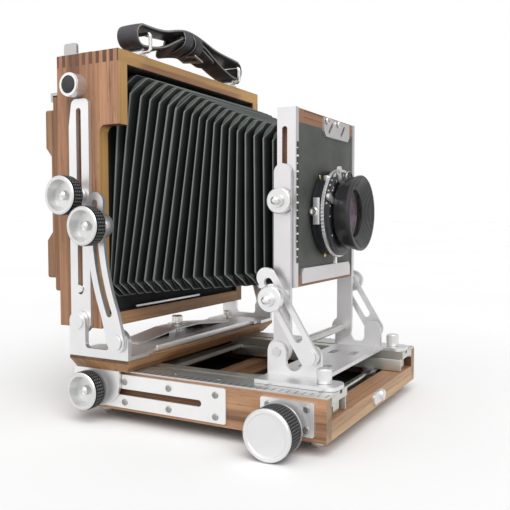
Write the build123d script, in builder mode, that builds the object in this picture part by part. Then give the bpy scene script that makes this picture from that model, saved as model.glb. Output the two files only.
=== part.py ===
from build123d import *
from math import atan2, cos, degrees, hypot, pi, radians, sin, sqrt, tan
import os

os.makedirs("parts", exist_ok=True)

# Wooden folding field camera for 4x5 inch sheet film, standing opened on its own bed.
# Millimetres. +Z is up, the lens looks along -Y, and X is across.
# The origin is the mouth of the tripod socket in the underside of the bed.

# Clearances
slide_gap = 0.2
turn_gap = 0.05
plate_gap = 0.3
stud_gap = 0.35

# Bed
bed_width = 184.0
bed_length = 192.0
bed_height = 25.8
bed_wall = 8.0
floor_thickness = 2.2
front_rail_depth = 16.0
front_rail_round = 1.0
rear_rail_depth = 10.0
member_y = 29.0
member_depth = 14.0
member_height = 10.0
foot_diameter = 9.0
foot_height = 9.2
foot_inset_x = 20.0
foot_inset_y = 14.0
foot_round = 2.5

# Tripod socket, drilled for a 3/8 inch thread
socket_radius = 3.97
socket_depth = 10.0
socket_plate = 36.0
socket_flange = 4.0
socket_flange_thickness = 2.0
socket_boss_radius = 9.0

# Fixed guide rails and the focusing track that slides in them
strip_thickness = 1.2
strip_overhang = 4.5
strip_inset = 1.0
guide_wall = 1.2
guide_groove = 4.4
rail_width = 20.0
web_width = 10.0
track_length = 152.0
tie_depth = 10.0
tie_thickness = 3.0
lock_groove_depth = 2.2

# Rack and pinion
tooth_module = 1.0
pinion_teeth = 12
pressure_angle = 20.0
pinion_width = 9.0
pinion_addendum = 0.85
pinion_dedendum = 1.0
rack_addendum = 0.7
rack_dedendum = 1.25
backlash = 0.3
shaft_radius = 3.0
shaft_y = -68.0
shaft_z = 6.9

# Metal plates on the sides of the bed
bearing_length = 35.0
bearing_height = 20.6
bearing_y = -71.5
bearing_z = 13.4
bearing_thickness = 2.0
slot_plate_front = -29.5
slot_plate_rear = 84.0
slot_plate_height = 22.7
slot_plate_z = 13.6
slot_plate_thickness = 1.5
lock_slot_front = -9.5
lock_slot_z = 13.2
lock_head_radius = 3.4
lock_head_depth = 2.5

# Knobs and nuts
stud_radius = 1.95
focus_knob_radius = 15.5
focus_knob_length = 16.0
focus_hub_radius = 7.0
focus_hub_length = 3.5
knob_radius = 12.75
knob_length = 9.5
knob_rim = 2.6
knob_cup_depth = 6.5
knob_boss_radius = 6.0
knob_neck = 3.0
knob_seat = 1.5
nut_radius = 8.3
nut_length = 4.4
nut_boss_radius = 4.4
nut_boss_length = 2.0
nut_hub_radius = 5.6
strut_nut_hub = 6.0
clamp_nut_hub = 1.5

# Front standard
base_thickness = 2.5
base_rear = -42.0
base_front = -79.0
lock_knob_radius = 4.5
lock_knob_height = 9.0
lock_knob_inset = 11.0
lens_frame_depth = 13.2
lens_frame_front = -58.0
lens_frame_bottom = 85.0
channel_wall = 2.0
channel_groove = 2.5
channel_lip = 4.0
channel_back_lip = 1.5
channel_slot = 3.7
channel_slot_end = 14.0
post_thickness = 3.0
post_width = 12.0
post_top = 165.0
post_foot_radius = 8.0
bracket_thickness = 3.0
hump_radius = 6.5
tilt_y = -48.0
tilt_z = 44.0
tilt_rod_radius = 3.0
tilt_rod_end = 0.9
front_strut_thickness = 2.5
front_strut_spacer = 2.0
front_strut_width = 13.0
front_strut_reach = 57.0
front_strut_y = -72.4
front_strut_z = 43.5
front_stud_z = 79.5
front_slot_low = 13.5
front_slot_high = 53.5
front_slot_radius = 3.0
pin_radius = 2.5
pin_head_radius = 5.2
pin_head_length = 1.3
clamp_z = 141.0
clamp_head_width = 7.2
clamp_head_height = 14.0
clamp_shoulder_radius = 3.0

# Lens board and lens
board_width = 96.0
board_height = 99.0
board_thickness = 3.0
board_sill = 8.0
board_head = 9.0
board_side_gap = 1.0
board_corner = 2.0
lens_window = 78.0
ledge_thickness = 1.5
ledge_width = 88.0
ledge_height = 10.0
ledge_overlap = 4.0
clamp_plate_left = -8.0
clamp_plate_right = 41.0
clamp_plate_height = 13.0
clamp_overlap = 5.0
clamp_slot_length = 8.0
clamp_slot_width = 2.6
lens_z = 133.4
shutter_radius = 29.6
shutter_length = 13.2
shutter_bore = 15.0
shutter_spigot = 17.2
ring_groove_radius = 27.0
ring_radius = 30.2
speed_ring_width = 2.2
speed_ring_set = 8.2
aperture_ring_width = 1.6
aperture_ring_set = 4.6
aperture_tab_reach = 6.0
aperture_tab_angle = 276.0
lever_thickness = 1.0
lever_width = 4.5
lever_pivot_radius = 24.0
cocking_angle = 112.0
release_angle = 160.0
lever_reach = 8.0
barrel_neck_radius = 20.5
barrel_neck_length = 1.6
barrel_back_radius = 24.4
barrel_rim_radius = 26.0
barrel_length = 13.8
barrel_rim_width = 2.5
glass_radius = 17.0
glass_thickness = 3.2
glass_bulge = 1.6
glass_set = 7.0
rear_flange_radius = 21.5
rear_flange_length = 3.0
rear_barrel_radius = 19.0
rear_barrel_length = 20.0
rear_glass_radius = 15.6

# Bellows
pleat_count = 17
pleat_depth = 5.5
bellows_wall = 0.9
bellows_rear_y = 72.0
bellows_front_side = 3.0
bellows_front_edge = 7.0
bellows_front_drop = 5.0
bellows_rear_side = 3.5
bellows_rear_edge = 8.0
bellows_rear_lift = 2.0
bellows_corner = 11.0

# Rear carriage
carriage_front = 38.5
carriage_rear = 89.0
carriage_thickness = 9.4
carriage_edge = 2.0
carriage_undercut = 6.0
cheek_front = 52.0
cheek_rear = 92.2
cheek_bottom = 2.5
cheek_thickness = 2.0
cheek_round = 17.0
carriage_lock_y = 76.2
pivot_y = 72.0
pivot_radius = 5.0
pivot_head_radius = 8.0
pivot_head_length = 2.2
shift_travel = 10.0

# Rear standard
frame_overhang = 4.0
frame_height = 186.0
frame_bottom = 55.0
frame_board = 9.0
frame_front = 67.0
frame_rear = 104.0
ear_front = 50.0
ear_bottom = 192.0
ear_round = 5.0
frame_ledge = 12.0
frame_ledge_thickness = 4.0
arm_y = 82.0
arm_pivot_z = 60.0
arm_width = 17.5
arm_thickness = 3.0
arm_top = 210.0
arm_taper = 2.8
arm_taper_length = 18.0
arm_round = 4.0
arm_slot_bottom = 78.0
arm_slot_top = 204.0
arm_ear_width = 15.5
arm_bolt_z = 145.0
guide_screw_z = 82.0
guide_screw_radius = 2.6
rear_bracket_thickness = 3.4
bracket_base = 2.5
bracket_waist = 5.0
bracket_end_length = 22.0
bracket_step = 8.0
rear_ear_radius = 7.0
front_ear_radius = 8.0
bracket_notch_z = 42.5
bracket_notch_round = 3.0
rear_strut_y = 46.5
rear_strut_z = 49.0
rear_stud_y = 63.0
rear_stud_z = 125.0
rear_strut_thickness = 2.8
rear_strut_width = 14.0
rear_slot_low = 18.5
rear_slot_high = 15.0
rear_slot_lean = 5.0
rear_slot_back = 0.4
button_y = 85.0
button_z = 219.0
button_radius = 8.0
button_length = 8.5
button_face_radius = 6.0
button_rim = 1.0

# Swing spring and lock knobs on the rear bracket
spring_half_length = 62.0
spring_width = 20.0
spring_thickness = 1.0
spring_rise = 4.0
spring_flat = 16.0
swing_knob_radius = 4.2
swing_knob_height = 7.5
shift_lock_x = 80.0
shift_knob_radius = 3.8
shift_knob_height = 7.0

# Film back
back_width = 180.0
back_height = 138.0
back_thickness = 10.0
back_z = 147.0
film_width = 120.0
film_height = 95.0
focusing_width = 176.0
focusing_inset = 9.0
focusing_thickness = 9.0
focusing_recess = 5.0
finger_height = 54.0
finger_width = 14.0
finger_slope = 6.0
glass_sheet = 2.0
glass_lap = 3.0
leaf_half_length = 60.0
leaf_width = 6.0
leaf_thickness = 0.6
leaf_tab = 16.0
leaf_lap = 8.0
leaf_post_radius = 2.5
latch_x = 84.0
latch_width = 12.0
latch_thickness = 2.0
latch_plate_depth = 26.0
latch_tab_height = 7.5
latch_tab_length = 11.5
latch_tab_inset = 1.2
latch_tab_round = 2.0
latch_lap = 4.0

# Carrying strap
handle_x = -7.0
lug_x = 61.0
lug_y = 57.0
lug_height = 3.0
lug_radius = 2.4
lug_length = 12.0
lug_base = 10.0
lug_base_thickness = 1.5
loop_wire = 1.25
loop_width = 24.0
loop_height = 12.0
strap_width = 18.0
strap_thickness = 2.2
strap_bend = 6.4
strap_slack = 2.5
strap_drop = 1.0
strap_rise = 5.0
strap_waist = 5.5
keeper_width = 11.0
keeper_spacing = 13.5
keeper_x = -17.0

# Bed latch on the front rail
latch_bar_x = 6.0
latch_bar_z = 7.0
latch_bar_length = 13.0
latch_bar_width = 8.0
latch_bar_thickness = 1.6
latch_screw_radius = 3.6
latch_screw_length = 1.2

# Places that several pieces share
half_bed = bed_width / 2
bed_front = -bed_length / 2
bed_rear = bed_length / 2
wall_in = half_bed - bed_wall
guide_top = bed_height + strip_thickness
strip_in = wall_in - strip_overhang
groove_bottom = bed_height - guide_groove
rail_out = strip_in - slide_gap
rail_in = rail_out - rail_width
rail_mid = (rail_in + rail_out) / 2
rail_bottom = groove_bottom + slide_gap
pitch_radius = tooth_module * pinion_teeth / 2
pitch_z = shaft_z + pitch_radius
rack_tip_z = pitch_z - rack_addendum * tooth_module
rack_root_z = pitch_z + rack_dedendum * tooth_module
front_rail_top = rack_tip_z - 2 * slide_gap
track_rear = bed_front + track_length
base_bottom = guide_top + slide_gap
base_top = base_bottom + base_thickness
half_lens_frame = board_width / 2 + board_side_gap + channel_groove + channel_wall
lens_frame_height = board_sill + board_height + board_head
board_bottom = lens_frame_bottom + board_sill
lens_frame_rear = lens_frame_front + lens_frame_depth
lens_frame_top = lens_frame_bottom + lens_frame_height
channel_in = half_lens_frame - channel_wall
wood_half = channel_in - channel_groove
channel_y0 = lens_frame_front + channel_lip
channel_y1 = lens_frame_rear - channel_back_lip
post_y = (channel_y0 + channel_y1) / 2
post_in = half_lens_frame + 0.5
post_out = post_in + post_thickness
bracket_in = post_out + plate_gap
bracket_out = bracket_in + bracket_thickness
spacer_out = bracket_out + front_strut_spacer
strut_in = spacer_out + plate_gap
strut_out = strut_in + front_strut_thickness
front_nut_x = strut_out + plate_gap
board_front = channel_y0 - board_thickness
board_top = board_bottom + board_height
shutter_front = board_front - shutter_length
half_frame = half_bed + frame_overhang
frame_top = frame_bottom + frame_height
arm_in = half_frame + plate_gap
arm_out = arm_in + arm_thickness
ear_in = arm_out + plate_gap
ear_out = ear_in + rear_bracket_thickness
rear_strut_in = ear_out + plate_gap
rear_strut_out = rear_strut_in + rear_strut_thickness
rear_knob_x = rear_strut_out + plate_gap
rear_band_x = rear_knob_x + knob_neck
rear_stud_end = rear_band_x + knob_seat
bellows_front_width = 2 * (wood_half - bellows_front_side)
bellows_front_height = lens_frame_height - 2 * bellows_front_edge
bellows_front_z = lens_frame_bottom + lens_frame_height / 2 - bellows_front_drop
bellows_rear_width = 2 * (half_frame - frame_board - bellows_rear_side)
bellows_rear_height = frame_height - 2 * (frame_board + bellows_rear_edge)
bellows_rear_z = frame_bottom + frame_height / 2 + bellows_rear_lift
carriage_bottom = guide_top + slide_gap
carriage_top = carriage_bottom + carriage_thickness
bracket_z = carriage_top + slide_gap
bracket_top = bracket_z + bracket_base
cheek_in = half_bed + slot_plate_thickness + plate_gap
cheek_out = cheek_in + cheek_thickness
back_rear = frame_rear + back_thickness
focusing_height = back_height - 2 * focusing_inset
focusing_front = back_rear + slide_gap
focusing_rear = focusing_front + focusing_thickness
hinge_z = frame_top + lug_height
sides = {"left": -1, "right": 1}


def across(x, y=0.0, z=0.0, side=1):
    """Sketch plane square to X at x: its own x runs along Y and its own y along Z."""
    return Plane(origin=(side * x, y, z), x_dir=(0, 1, 0), z_dir=(1, 0, 0))


def turned(points, y, z, side):
    """Solid of revolution about an axis along X. Points are pairs of distance from X = 0 and radius."""
    profile_plane = Plane(origin=(0, y, z), x_dir=(side, 0, 0), z_dir=(0, -side, 0))
    with BuildPart() as piece:
        with BuildSketch(profile_plane):
            with BuildLine():
                Polyline(*points, close=True)
            make_face()
        revolve(axis=Axis((0, y, z), (1, 0, 0)))
    return piece.part


def turned_on_lens(points):
    """Solid of revolution about the lens axis. Points are pairs of Y and radius."""
    profile_plane = Plane(origin=(0, 0, lens_z), x_dir=(0, 1, 0), z_dir=(1, 0, 0))
    with BuildPart() as piece:
        with BuildSketch(profile_plane):
            with BuildLine():
                Polyline(*points, close=True)
            make_face()
        revolve(axis=Axis((0, 0, lens_z), (0, 1, 0)))
    return piece.part


# Bed: a walnut tray with side walls, a low front rail under the track, a rear rail and a cross member
with BuildPart() as bed_frame:
    with BuildSketch():
        with Locations((half_bed - bed_wall / 2, 0), (bed_wall / 2 - half_bed, 0)):
            Rectangle(bed_wall, bed_length)
    extrude(amount=bed_height)
    with BuildSketch(across(-wall_in)) as front_rail_profile:
        with Locations((bed_front, 0)):
            Rectangle(front_rail_depth, front_rail_top, align=(Align.MIN, Align.MIN))
        nose = front_rail_profile.vertices().group_by(Axis.Y)[-1].sort_by(Axis.X)[0]
        fillet(nose, front_rail_round)
    extrude(amount=2 * wall_in)
    with BuildSketch():
        with Locations((0, bed_rear - rear_rail_depth / 2)):
            Rectangle(2 * wall_in, rear_rail_depth)
    extrude(amount=bed_height)
    with BuildSketch(Plane.XY.offset(floor_thickness)):
        with Locations((0, member_y)):
            Rectangle(2 * wall_in, member_depth)
    extrude(amount=member_height - floor_thickness)
    with BuildSketch(across(-half_bed)):
        with Locations((shaft_y, shaft_z)):
            Circle(shaft_radius + 3 * slide_gap)
    extrude(amount=bed_width, mode=Mode.SUBTRACT)
    for side in sides.values():
        groove_x = half_bed if side < 0 else half_bed - lock_head_depth - 4 * slide_gap
        with BuildSketch(across(groove_x, side=side)):
            with Locations(((lock_slot_front + carriage_lock_y) / 2, lock_slot_z)):
                SlotCenterToCenter(carriage_lock_y - lock_slot_front, 2 * lock_head_radius + 4 * slide_gap)
        extrude(amount=lock_head_depth + 4 * slide_gap, mode=Mode.SUBTRACT)
bed_frame.part.label = "bed_frame"
export_step(bed_frame.part, "parts/bed_frame.step")

# Black floor panel, open above the pinions and round the tripod plate
floor_front = bed_front + front_rail_depth
floor_rear = bed_rear - rear_rail_depth
pinion_outer = pitch_radius + pinion_addendum * tooth_module
with BuildPart() as bed_floor:
    with BuildSketch():
        with Locations((0, (floor_front + floor_rear) / 2)):
            Rectangle(2 * wall_in, floor_rear - floor_front)
        Rectangle(socket_plate, socket_plate, mode=Mode.SUBTRACT)
        with Locations((rail_mid, shaft_y), (-rail_mid, shaft_y)):
            Rectangle(web_width + 2, 2 * pinion_outer + 2, mode=Mode.SUBTRACT)
    extrude(amount=floor_thickness)
bed_floor.part.label = "bed_floor"
export_step(bed_floor.part, "parts/bed_floor.step")

# Tripod plate: flush below, with a flange on the floor and a tapped boss
with BuildPart() as tripod_plate:
    with BuildSketch():
        Rectangle(socket_plate, socket_plate)
    extrude(amount=floor_thickness)
    with BuildSketch(Plane.XY.offset(floor_thickness)):
        Rectangle(socket_plate + 2 * socket_flange, socket_plate + 2 * socket_flange)
    extrude(amount=socket_flange_thickness)
    with BuildSketch(Plane.XY.offset(floor_thickness + socket_flange_thickness)):
        Circle(socket_boss_radius)
    extrude(amount=socket_depth - floor_thickness - socket_flange_thickness)
    with BuildSketch():
        Circle(socket_radius)
    extrude(amount=socket_depth, mode=Mode.SUBTRACT)
tripod_plate.part.label = "tripod_plate"
export_step(tripod_plate.part, "parts/tripod_plate.step")

# Four round feet under the bed
foot_x = half_bed - foot_inset_x
foot_y = bed_length / 2 - foot_inset_y
with BuildPart() as bed_feet:
    with BuildSketch():
        with GridLocations(2 * foot_x, 2 * foot_y, 2, 2):
            Circle(foot_diameter / 2)
    extrude(amount=-foot_height)
    fillet(bed_feet.edges().filter_by(GeomType.CIRCLE).group_by(Axis.Z)[0], foot_round)
bed_feet.part.label = "bed_feet"
export_step(bed_feet.part, "parts/bed_feet.step")

# Fixed guide rails: a ruler strip on each wall with a groove below its overhang
with BuildPart() as guide_rails:
    with BuildSketch(Plane.XZ.offset(-floor_rear)):
        with BuildLine():
            Polyline(
                (half_bed - strip_inset, bed_height),
                (half_bed - strip_inset, guide_top),
                (strip_in, guide_top),
                (strip_in, bed_height),
                (wall_in - guide_wall, bed_height),
                (wall_in - guide_wall, groove_bottom),
                (strip_in, groove_bottom),
                (strip_in, groove_bottom - guide_wall),
                (wall_in, groove_bottom - guide_wall),
                (wall_in, bed_height),
                close=True,
            )
        make_face()
    extrude(amount=floor_rear - bed_front)
    mirror(about=Plane.YZ)
guide_rails.part.label = "guide_rails"
export_step(guide_rails.part, "parts/guide_rails.step")

# Focusing track: two grooved rails with racks cut below, joined by a tie at the rear
web_in = rail_mid - web_width / 2
web_out = rail_mid + web_width / 2
tooth_pitch = pi * tooth_module
flank = tan(radians(pressure_angle))
rack_half = tooth_pitch / 4 - backlash / 2
rack_outline = []
tooth_y = shaft_y + tooth_pitch * (int((bed_front - shaft_y) / tooth_pitch) + 0.5)
while tooth_y < track_rear - tie_depth - tooth_pitch:
    for reach, sign in ((-rack_dedendum, -1), (rack_addendum, -1), (rack_addendum, 1), (-rack_dedendum, 1)):
        half = rack_half - reach * tooth_module * flank
        rack_outline.append((tooth_y + sign * half, pitch_z - reach * tooth_module))
    tooth_y += tooth_pitch
rack_outline.append((rack_outline[-1][0], rail_bottom))
rack_outline.append((rack_outline[0][0], rail_bottom))
with BuildPart() as focus_track:
    with BuildSketch(Plane.XZ.offset(-track_rear)):
        with BuildLine():
            Polyline(
                (rail_in, rail_bottom),
                (rail_in, guide_top),
                (rail_out, guide_top),
                (rail_out, bed_height - slide_gap),
                (wall_in - guide_wall - slide_gap, bed_height - slide_gap),
                (wall_in - guide_wall - slide_gap, rail_bottom),
                close=True,
            )
        make_face()
        with Locations((rail_mid, guide_top)):
            Rectangle(
                2 * stud_radius,
                lock_groove_depth,
                align=(Align.CENTER, Align.MAX),
                mode=Mode.SUBTRACT,
            )
    extrude(amount=track_length)
    with BuildSketch(across(web_in)):
        with BuildLine():
            Polyline(*rack_outline, close=True)
        make_face()
    extrude(amount=web_width)
    with BuildSketch(Plane.XY.offset(rail_bottom)):
        with Locations((0, track_rear - tie_depth)):
            Rectangle(rail_out, tie_depth, align=(Align.MIN, Align.MIN))
    extrude(amount=-tie_thickness)
    mirror(about=Plane.YZ)
focus_track.part.label = "focus_track"
export_step(focus_track.part, "parts/focus_track.step")

# Pinion shaft across the bed, with an involute pinion below each rack
base_radius = pitch_radius * cos(radians(pressure_angle))
root_radius = pitch_radius - pinion_dedendum * tooth_module
half_tooth = pi / (2 * pinion_teeth) - backlash / (2 * pitch_radius)
pitch_roll = tan(radians(pressure_angle)) - radians(pressure_angle)
flank_radii = [base_radius, (base_radius + pitch_radius) / 2, pitch_radius, pinion_outer]


def involute_half_angle(radius):
    """Half the angle that a tooth fills at this radius."""
    roll = sqrt(max((radius / base_radius) ** 2 - 1, 0.0))
    return half_tooth + pitch_roll - (roll - atan2(roll, 1.0))


pinion_outline = []
for tooth in range(pinion_teeth):
    middle = pi / 2 + 2 * pi * tooth / pinion_teeth
    rising = [(root_radius, involute_half_angle(base_radius))]
    rising += [(radius, involute_half_angle(radius)) for radius in flank_radii]
    for radius, half in rising:
        pinion_outline.append((radius * cos(middle - half), radius * sin(middle - half)))
    for radius, half in reversed(rising):
        pinion_outline.append((radius * cos(middle + half), radius * sin(middle + half)))
shaft_end = half_bed + bearing_thickness + slide_gap + focus_hub_length + focus_knob_length / 2
with BuildPart() as pinion_shaft:
    with BuildSketch(across(-shaft_end, shaft_y, shaft_z)):
        Circle(shaft_radius)
    extrude(amount=2 * shaft_end)
    for middle_x in (-rail_mid, rail_mid):
        with BuildSketch(across(middle_x - pinion_width / 2, shaft_y, shaft_z)):
            with BuildLine():
                Polyline(*pinion_outline, close=True)
            make_face()
        extrude(amount=pinion_width)
pinion_shaft.part.label = "pinion_shaft"
export_step(pinion_shaft.part, "parts/pinion_shaft.step")

# Focusing knobs: thin rear flange, knurled band and a dished face with a raised rim
hub_x = half_bed + bearing_thickness + slide_gap
flange_x = hub_x + focus_hub_length
face_x = flange_x + focus_knob_length
focus_knob_profile = [
    (hub_x, shaft_radius + turn_gap),
    (hub_x, focus_hub_radius),
    (flange_x, focus_hub_radius),
    (flange_x, focus_knob_radius),
    (flange_x + 1.0, focus_knob_radius),
    (flange_x + 1.0, focus_knob_radius - 0.6),
    (face_x - 2.0, focus_knob_radius - 0.6),
    (face_x - 2.0, focus_knob_radius - 0.1),
    (face_x - 0.8, focus_knob_radius - 0.1),
    (face_x, focus_knob_radius - 0.9),
    (face_x, focus_knob_radius - 2.6),
    (face_x - 0.8, focus_knob_radius - 3.2),
    (face_x - 0.8, 0.0),
    (shaft_end + turn_gap, 0.0),
    (shaft_end + turn_gap, shaft_radius + turn_gap),
]
for name, side in sides.items():
    focus_knob = turned(focus_knob_profile, shaft_y, shaft_z, side)
    focus_knob.label = f"focus_knob_{name}"
    export_step(focus_knob, f"parts/focus_knob_{name}.step")

# Plates on the bed's sides: a bearing plate for the shaft and a slotted plate for the carriage lock
with BuildPart() as side_plates:
    with BuildSketch(across(half_bed)):
        with Locations((bearing_y, bearing_z)):
            RectangleRounded(bearing_length, bearing_height, 1.5)
        with Locations((shaft_y, shaft_z)):
            Circle(shaft_radius + turn_gap, mode=Mode.SUBTRACT)
    extrude(amount=bearing_thickness)
    with BuildSketch(across(half_bed)):
        with Locations(((slot_plate_front + slot_plate_rear) / 2, slot_plate_z)):
            RectangleRounded(slot_plate_rear - slot_plate_front, slot_plate_height, 1.5)
        with Locations(((lock_slot_front + carriage_lock_y) / 2, lock_slot_z)):
            SlotCenterToCenter(
                carriage_lock_y - lock_slot_front, 2 * (stud_radius + slide_gap), mode=Mode.SUBTRACT
            )
    extrude(amount=slot_plate_thickness)
    mirror(about=Plane.YZ)
side_plates.part.label = "side_plates"
export_step(side_plates.part, "parts/side_plates.step")

# Turn latch on the front rail: a rounded bar under a broad screw
latch_plane = Plane(origin=(latch_bar_x, bed_front, latch_bar_z), x_dir=(1, 0, 0), z_dir=(0, -1, 0))
with BuildPart() as bed_latch:
    with BuildSketch(latch_plane):
        with Locations((-latch_bar_length / 2, 0)):
            SlotCenterToCenter(latch_bar_length, latch_bar_width)
    extrude(amount=latch_bar_thickness)
    with BuildSketch(latch_plane.offset(latch_bar_thickness)):
        Circle(latch_screw_radius)
    extrude(amount=latch_screw_length)
bed_latch.part.label = "bed_latch"
export_step(bed_latch.part, "parts/bed_latch.step")

# Front base: a plate on the rails with two tongues and a two-humped bracket at each side
hump_gap = tilt_y - front_strut_y - 2 * hump_radius
with BuildPart() as front_base:
    with BuildSketch(Plane.XY.offset(base_bottom)) as base_outline:
        with Locations((0, (base_front + base_rear) / 2)):
            Rectangle(2 * rail_out, base_rear - base_front)
        with Locations((rail_in, bed_front), (-rail_out, bed_front)):
            Rectangle(rail_width, base_rear - bed_front, align=(Align.MIN, Align.MIN))
        fillet(base_outline.vertices().group_by(Axis.Y)[0], rail_width / 3)
        with GridLocations(half_lens_frame, hump_gap + 4, 2, 2):
            with Locations((0, (base_front + base_rear) / 2)):
                Rectangle(14, 5, mode=Mode.SUBTRACT)
        with Locations((rail_mid, bed_front + lock_knob_inset), (-rail_mid, bed_front + lock_knob_inset)):
            Circle(stud_radius, mode=Mode.SUBTRACT)
    extrude(amount=base_thickness)
    with BuildSketch(across(bracket_in)):
        with Locations((front_strut_y - hump_radius, base_bottom)):
            Rectangle(
                tilt_y - front_strut_y + 2 * hump_radius,
                front_strut_z - base_bottom,
                align=(Align.MIN, Align.MIN),
            )
        with Locations((tilt_y, tilt_z), (front_strut_y, front_strut_z)):
            Circle(hump_radius)
        with Locations(((tilt_y + front_strut_y) / 2, tilt_z)):
            SlotCenterToCenter(hump_gap, hump_gap, rotation=90, mode=Mode.SUBTRACT)
        with Locations((tilt_y, tilt_z)):
            Circle(tilt_rod_radius + turn_gap, mode=Mode.SUBTRACT)
    extrude(amount=bracket_thickness)
    with BuildSketch(across(bracket_out, front_strut_y, front_strut_z)):
        Circle(pin_head_radius)
    extrude(amount=front_strut_spacer)
    with BuildSketch(across(spacer_out, front_strut_y, front_strut_z)):
        Circle(pin_radius)
    extrude(amount=front_nut_x - spacer_out)
    with BuildSketch(across(front_nut_x, front_strut_y, front_strut_z)):
        Circle(pin_head_radius)
    extrude(amount=pin_head_length)
    mirror(about=Plane.YZ)
front_base.part.label = "front_base"
export_step(front_base.part, "parts/front_base.step")

# Tilt rod through the rear humps and the feet of the posts
with BuildPart() as tilt_rod:
    with BuildSketch(across(-bracket_out - tilt_rod_end, tilt_y, tilt_z)):
        Circle(tilt_rod_radius)
    extrude(amount=2 * (bracket_out + tilt_rod_end))
tilt_rod.part.label = "tilt_rod"
export_step(tilt_rod.part, "parts/tilt_rod.step")

# Knurled lock knobs on the tongues, each with a stud down into the rail's groove
for name, side in sides.items():
    with BuildPart() as front_lock:
        with BuildSketch(Plane.XY.offset(base_top + slide_gap)):
            with Locations((side * rail_mid, bed_front + lock_knob_inset)):
                Circle(lock_knob_radius)
        extrude(amount=lock_knob_height)
        chamfer(front_lock.edges().group_by(Axis.Z)[-1], 0.6)
        with BuildSketch(Plane.XY.offset(guide_top - lock_groove_depth + slide_gap)):
            with Locations((side * rail_mid, bed_front + lock_knob_inset)):
                Circle(stud_radius - 2 * slide_gap)
        extrude(amount=base_top - guide_top + lock_groove_depth)
    front_lock.part.label = f"front_lock_{name}"
    export_step(front_lock.part, f"parts/front_lock_{name}.step")

# Posts of the front standard, each with a shouldered stud for its strut
with BuildPart() as front_posts:
    with BuildSketch(across(post_in)):
        with Locations((post_y, (tilt_z + post_top - post_width / 2) / 2)):
            SlotCenterToCenter(post_top - post_width / 2 - tilt_z, post_width, rotation=90)
        with Locations((tilt_y, tilt_z)):
            Circle(post_foot_radius)
        with Locations((tilt_y, tilt_z)):
            Circle(tilt_rod_radius + turn_gap, mode=Mode.SUBTRACT)
        with Locations((post_y, clamp_z)):
            Circle(clamp_shoulder_radius + turn_gap, mode=Mode.SUBTRACT)
    extrude(amount=post_thickness)
    with BuildSketch(across(post_out, post_y, front_stud_z)):
        Circle(pin_head_radius)
    extrude(amount=spacer_out - post_out)
    with BuildSketch(across(spacer_out, post_y, front_stud_z)):
        Circle(front_slot_radius - stud_gap)
    extrude(amount=strut_out - spacer_out)
    with BuildSketch(across(strut_out, post_y, front_stud_z)):
        Circle(stud_radius)
    extrude(amount=front_nut_x + strut_nut_hub + nut_length - strut_out)
    mirror(about=Plane.YZ)
front_posts.part.label = "front_posts"
export_step(front_posts.part, "parts/front_posts.step")

# Slotted struts that hold the posts at their tilt
front_strut_rise = front_stud_z - front_strut_z
front_strut_run = post_y - front_strut_y
front_strut_angle = degrees(atan2(front_strut_rise, front_strut_run))
strut_dir = Vector(front_strut_run, front_strut_rise).normalized()
strut_foot = Vector(front_strut_y, front_strut_z)
with BuildPart() as front_struts:
    with BuildSketch(across(strut_in)):
        middle = strut_foot + strut_dir * (front_strut_reach / 2)
        with Locations((middle.X, middle.Y)):
            SlotCenterToCenter(front_strut_reach, front_strut_width, rotation=front_strut_angle)
        slot_middle = strut_foot + strut_dir * ((front_slot_low + front_slot_high) / 2)
        with Locations((slot_middle.X, slot_middle.Y)):
            SlotCenterToCenter(
                front_slot_high - front_slot_low,
                2 * front_slot_radius,
                rotation=front_strut_angle,
                mode=Mode.SUBTRACT,
            )
        with Locations((front_strut_y, front_strut_z)):
            Circle(pin_radius + turn_gap, mode=Mode.SUBTRACT)
    extrude(amount=front_strut_thickness)
    mirror(about=Plane.YZ)
front_struts.part.label = "front_struts"
export_step(front_struts.part, "parts/front_struts.step")


def nut_profile(seat_x, hub_length):
    """Turned disc nut with a hub behind, a boss and a rounded tip, bored for a stud as long as hub and disc."""
    back_x = seat_x + hub_length
    disc_x = back_x + nut_length
    boss_x = disc_x + nut_boss_length
    return [
        (seat_x, stud_radius + turn_gap),
        (seat_x, nut_hub_radius),
        (back_x, nut_hub_radius),
        (back_x, nut_radius),
        (disc_x - 0.6, nut_radius),
        (disc_x, nut_radius - 0.6),
        (disc_x, nut_boss_radius),
        (boss_x, nut_boss_radius - 0.4),
        (boss_x, stud_radius + 0.8),
        (boss_x + 3.0, stud_radius + 0.6),
        (boss_x + 4.2, stud_radius - 0.7),
        (boss_x + 4.2, 0.0),
        (disc_x + turn_gap, 0.0),
        (disc_x + turn_gap, stud_radius + turn_gap),
    ]


# Disc nuts: one on each strut stud and one on each clamp bolt
for name, side in sides.items():
    strut_nut = turned(nut_profile(front_nut_x, strut_nut_hub), post_y, front_stud_z, side)
    strut_nut.label = f"strut_nut_{name}"
    export_step(strut_nut, f"parts/strut_nut_{name}.step")
    clamp_nut = turned(nut_profile(post_out + plate_gap, clamp_nut_hub), post_y, clamp_z, side)
    clamp_nut.label = f"clamp_nut_{name}"
    export_step(clamp_nut, f"parts/clamp_nut_{name}.step")

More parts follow.
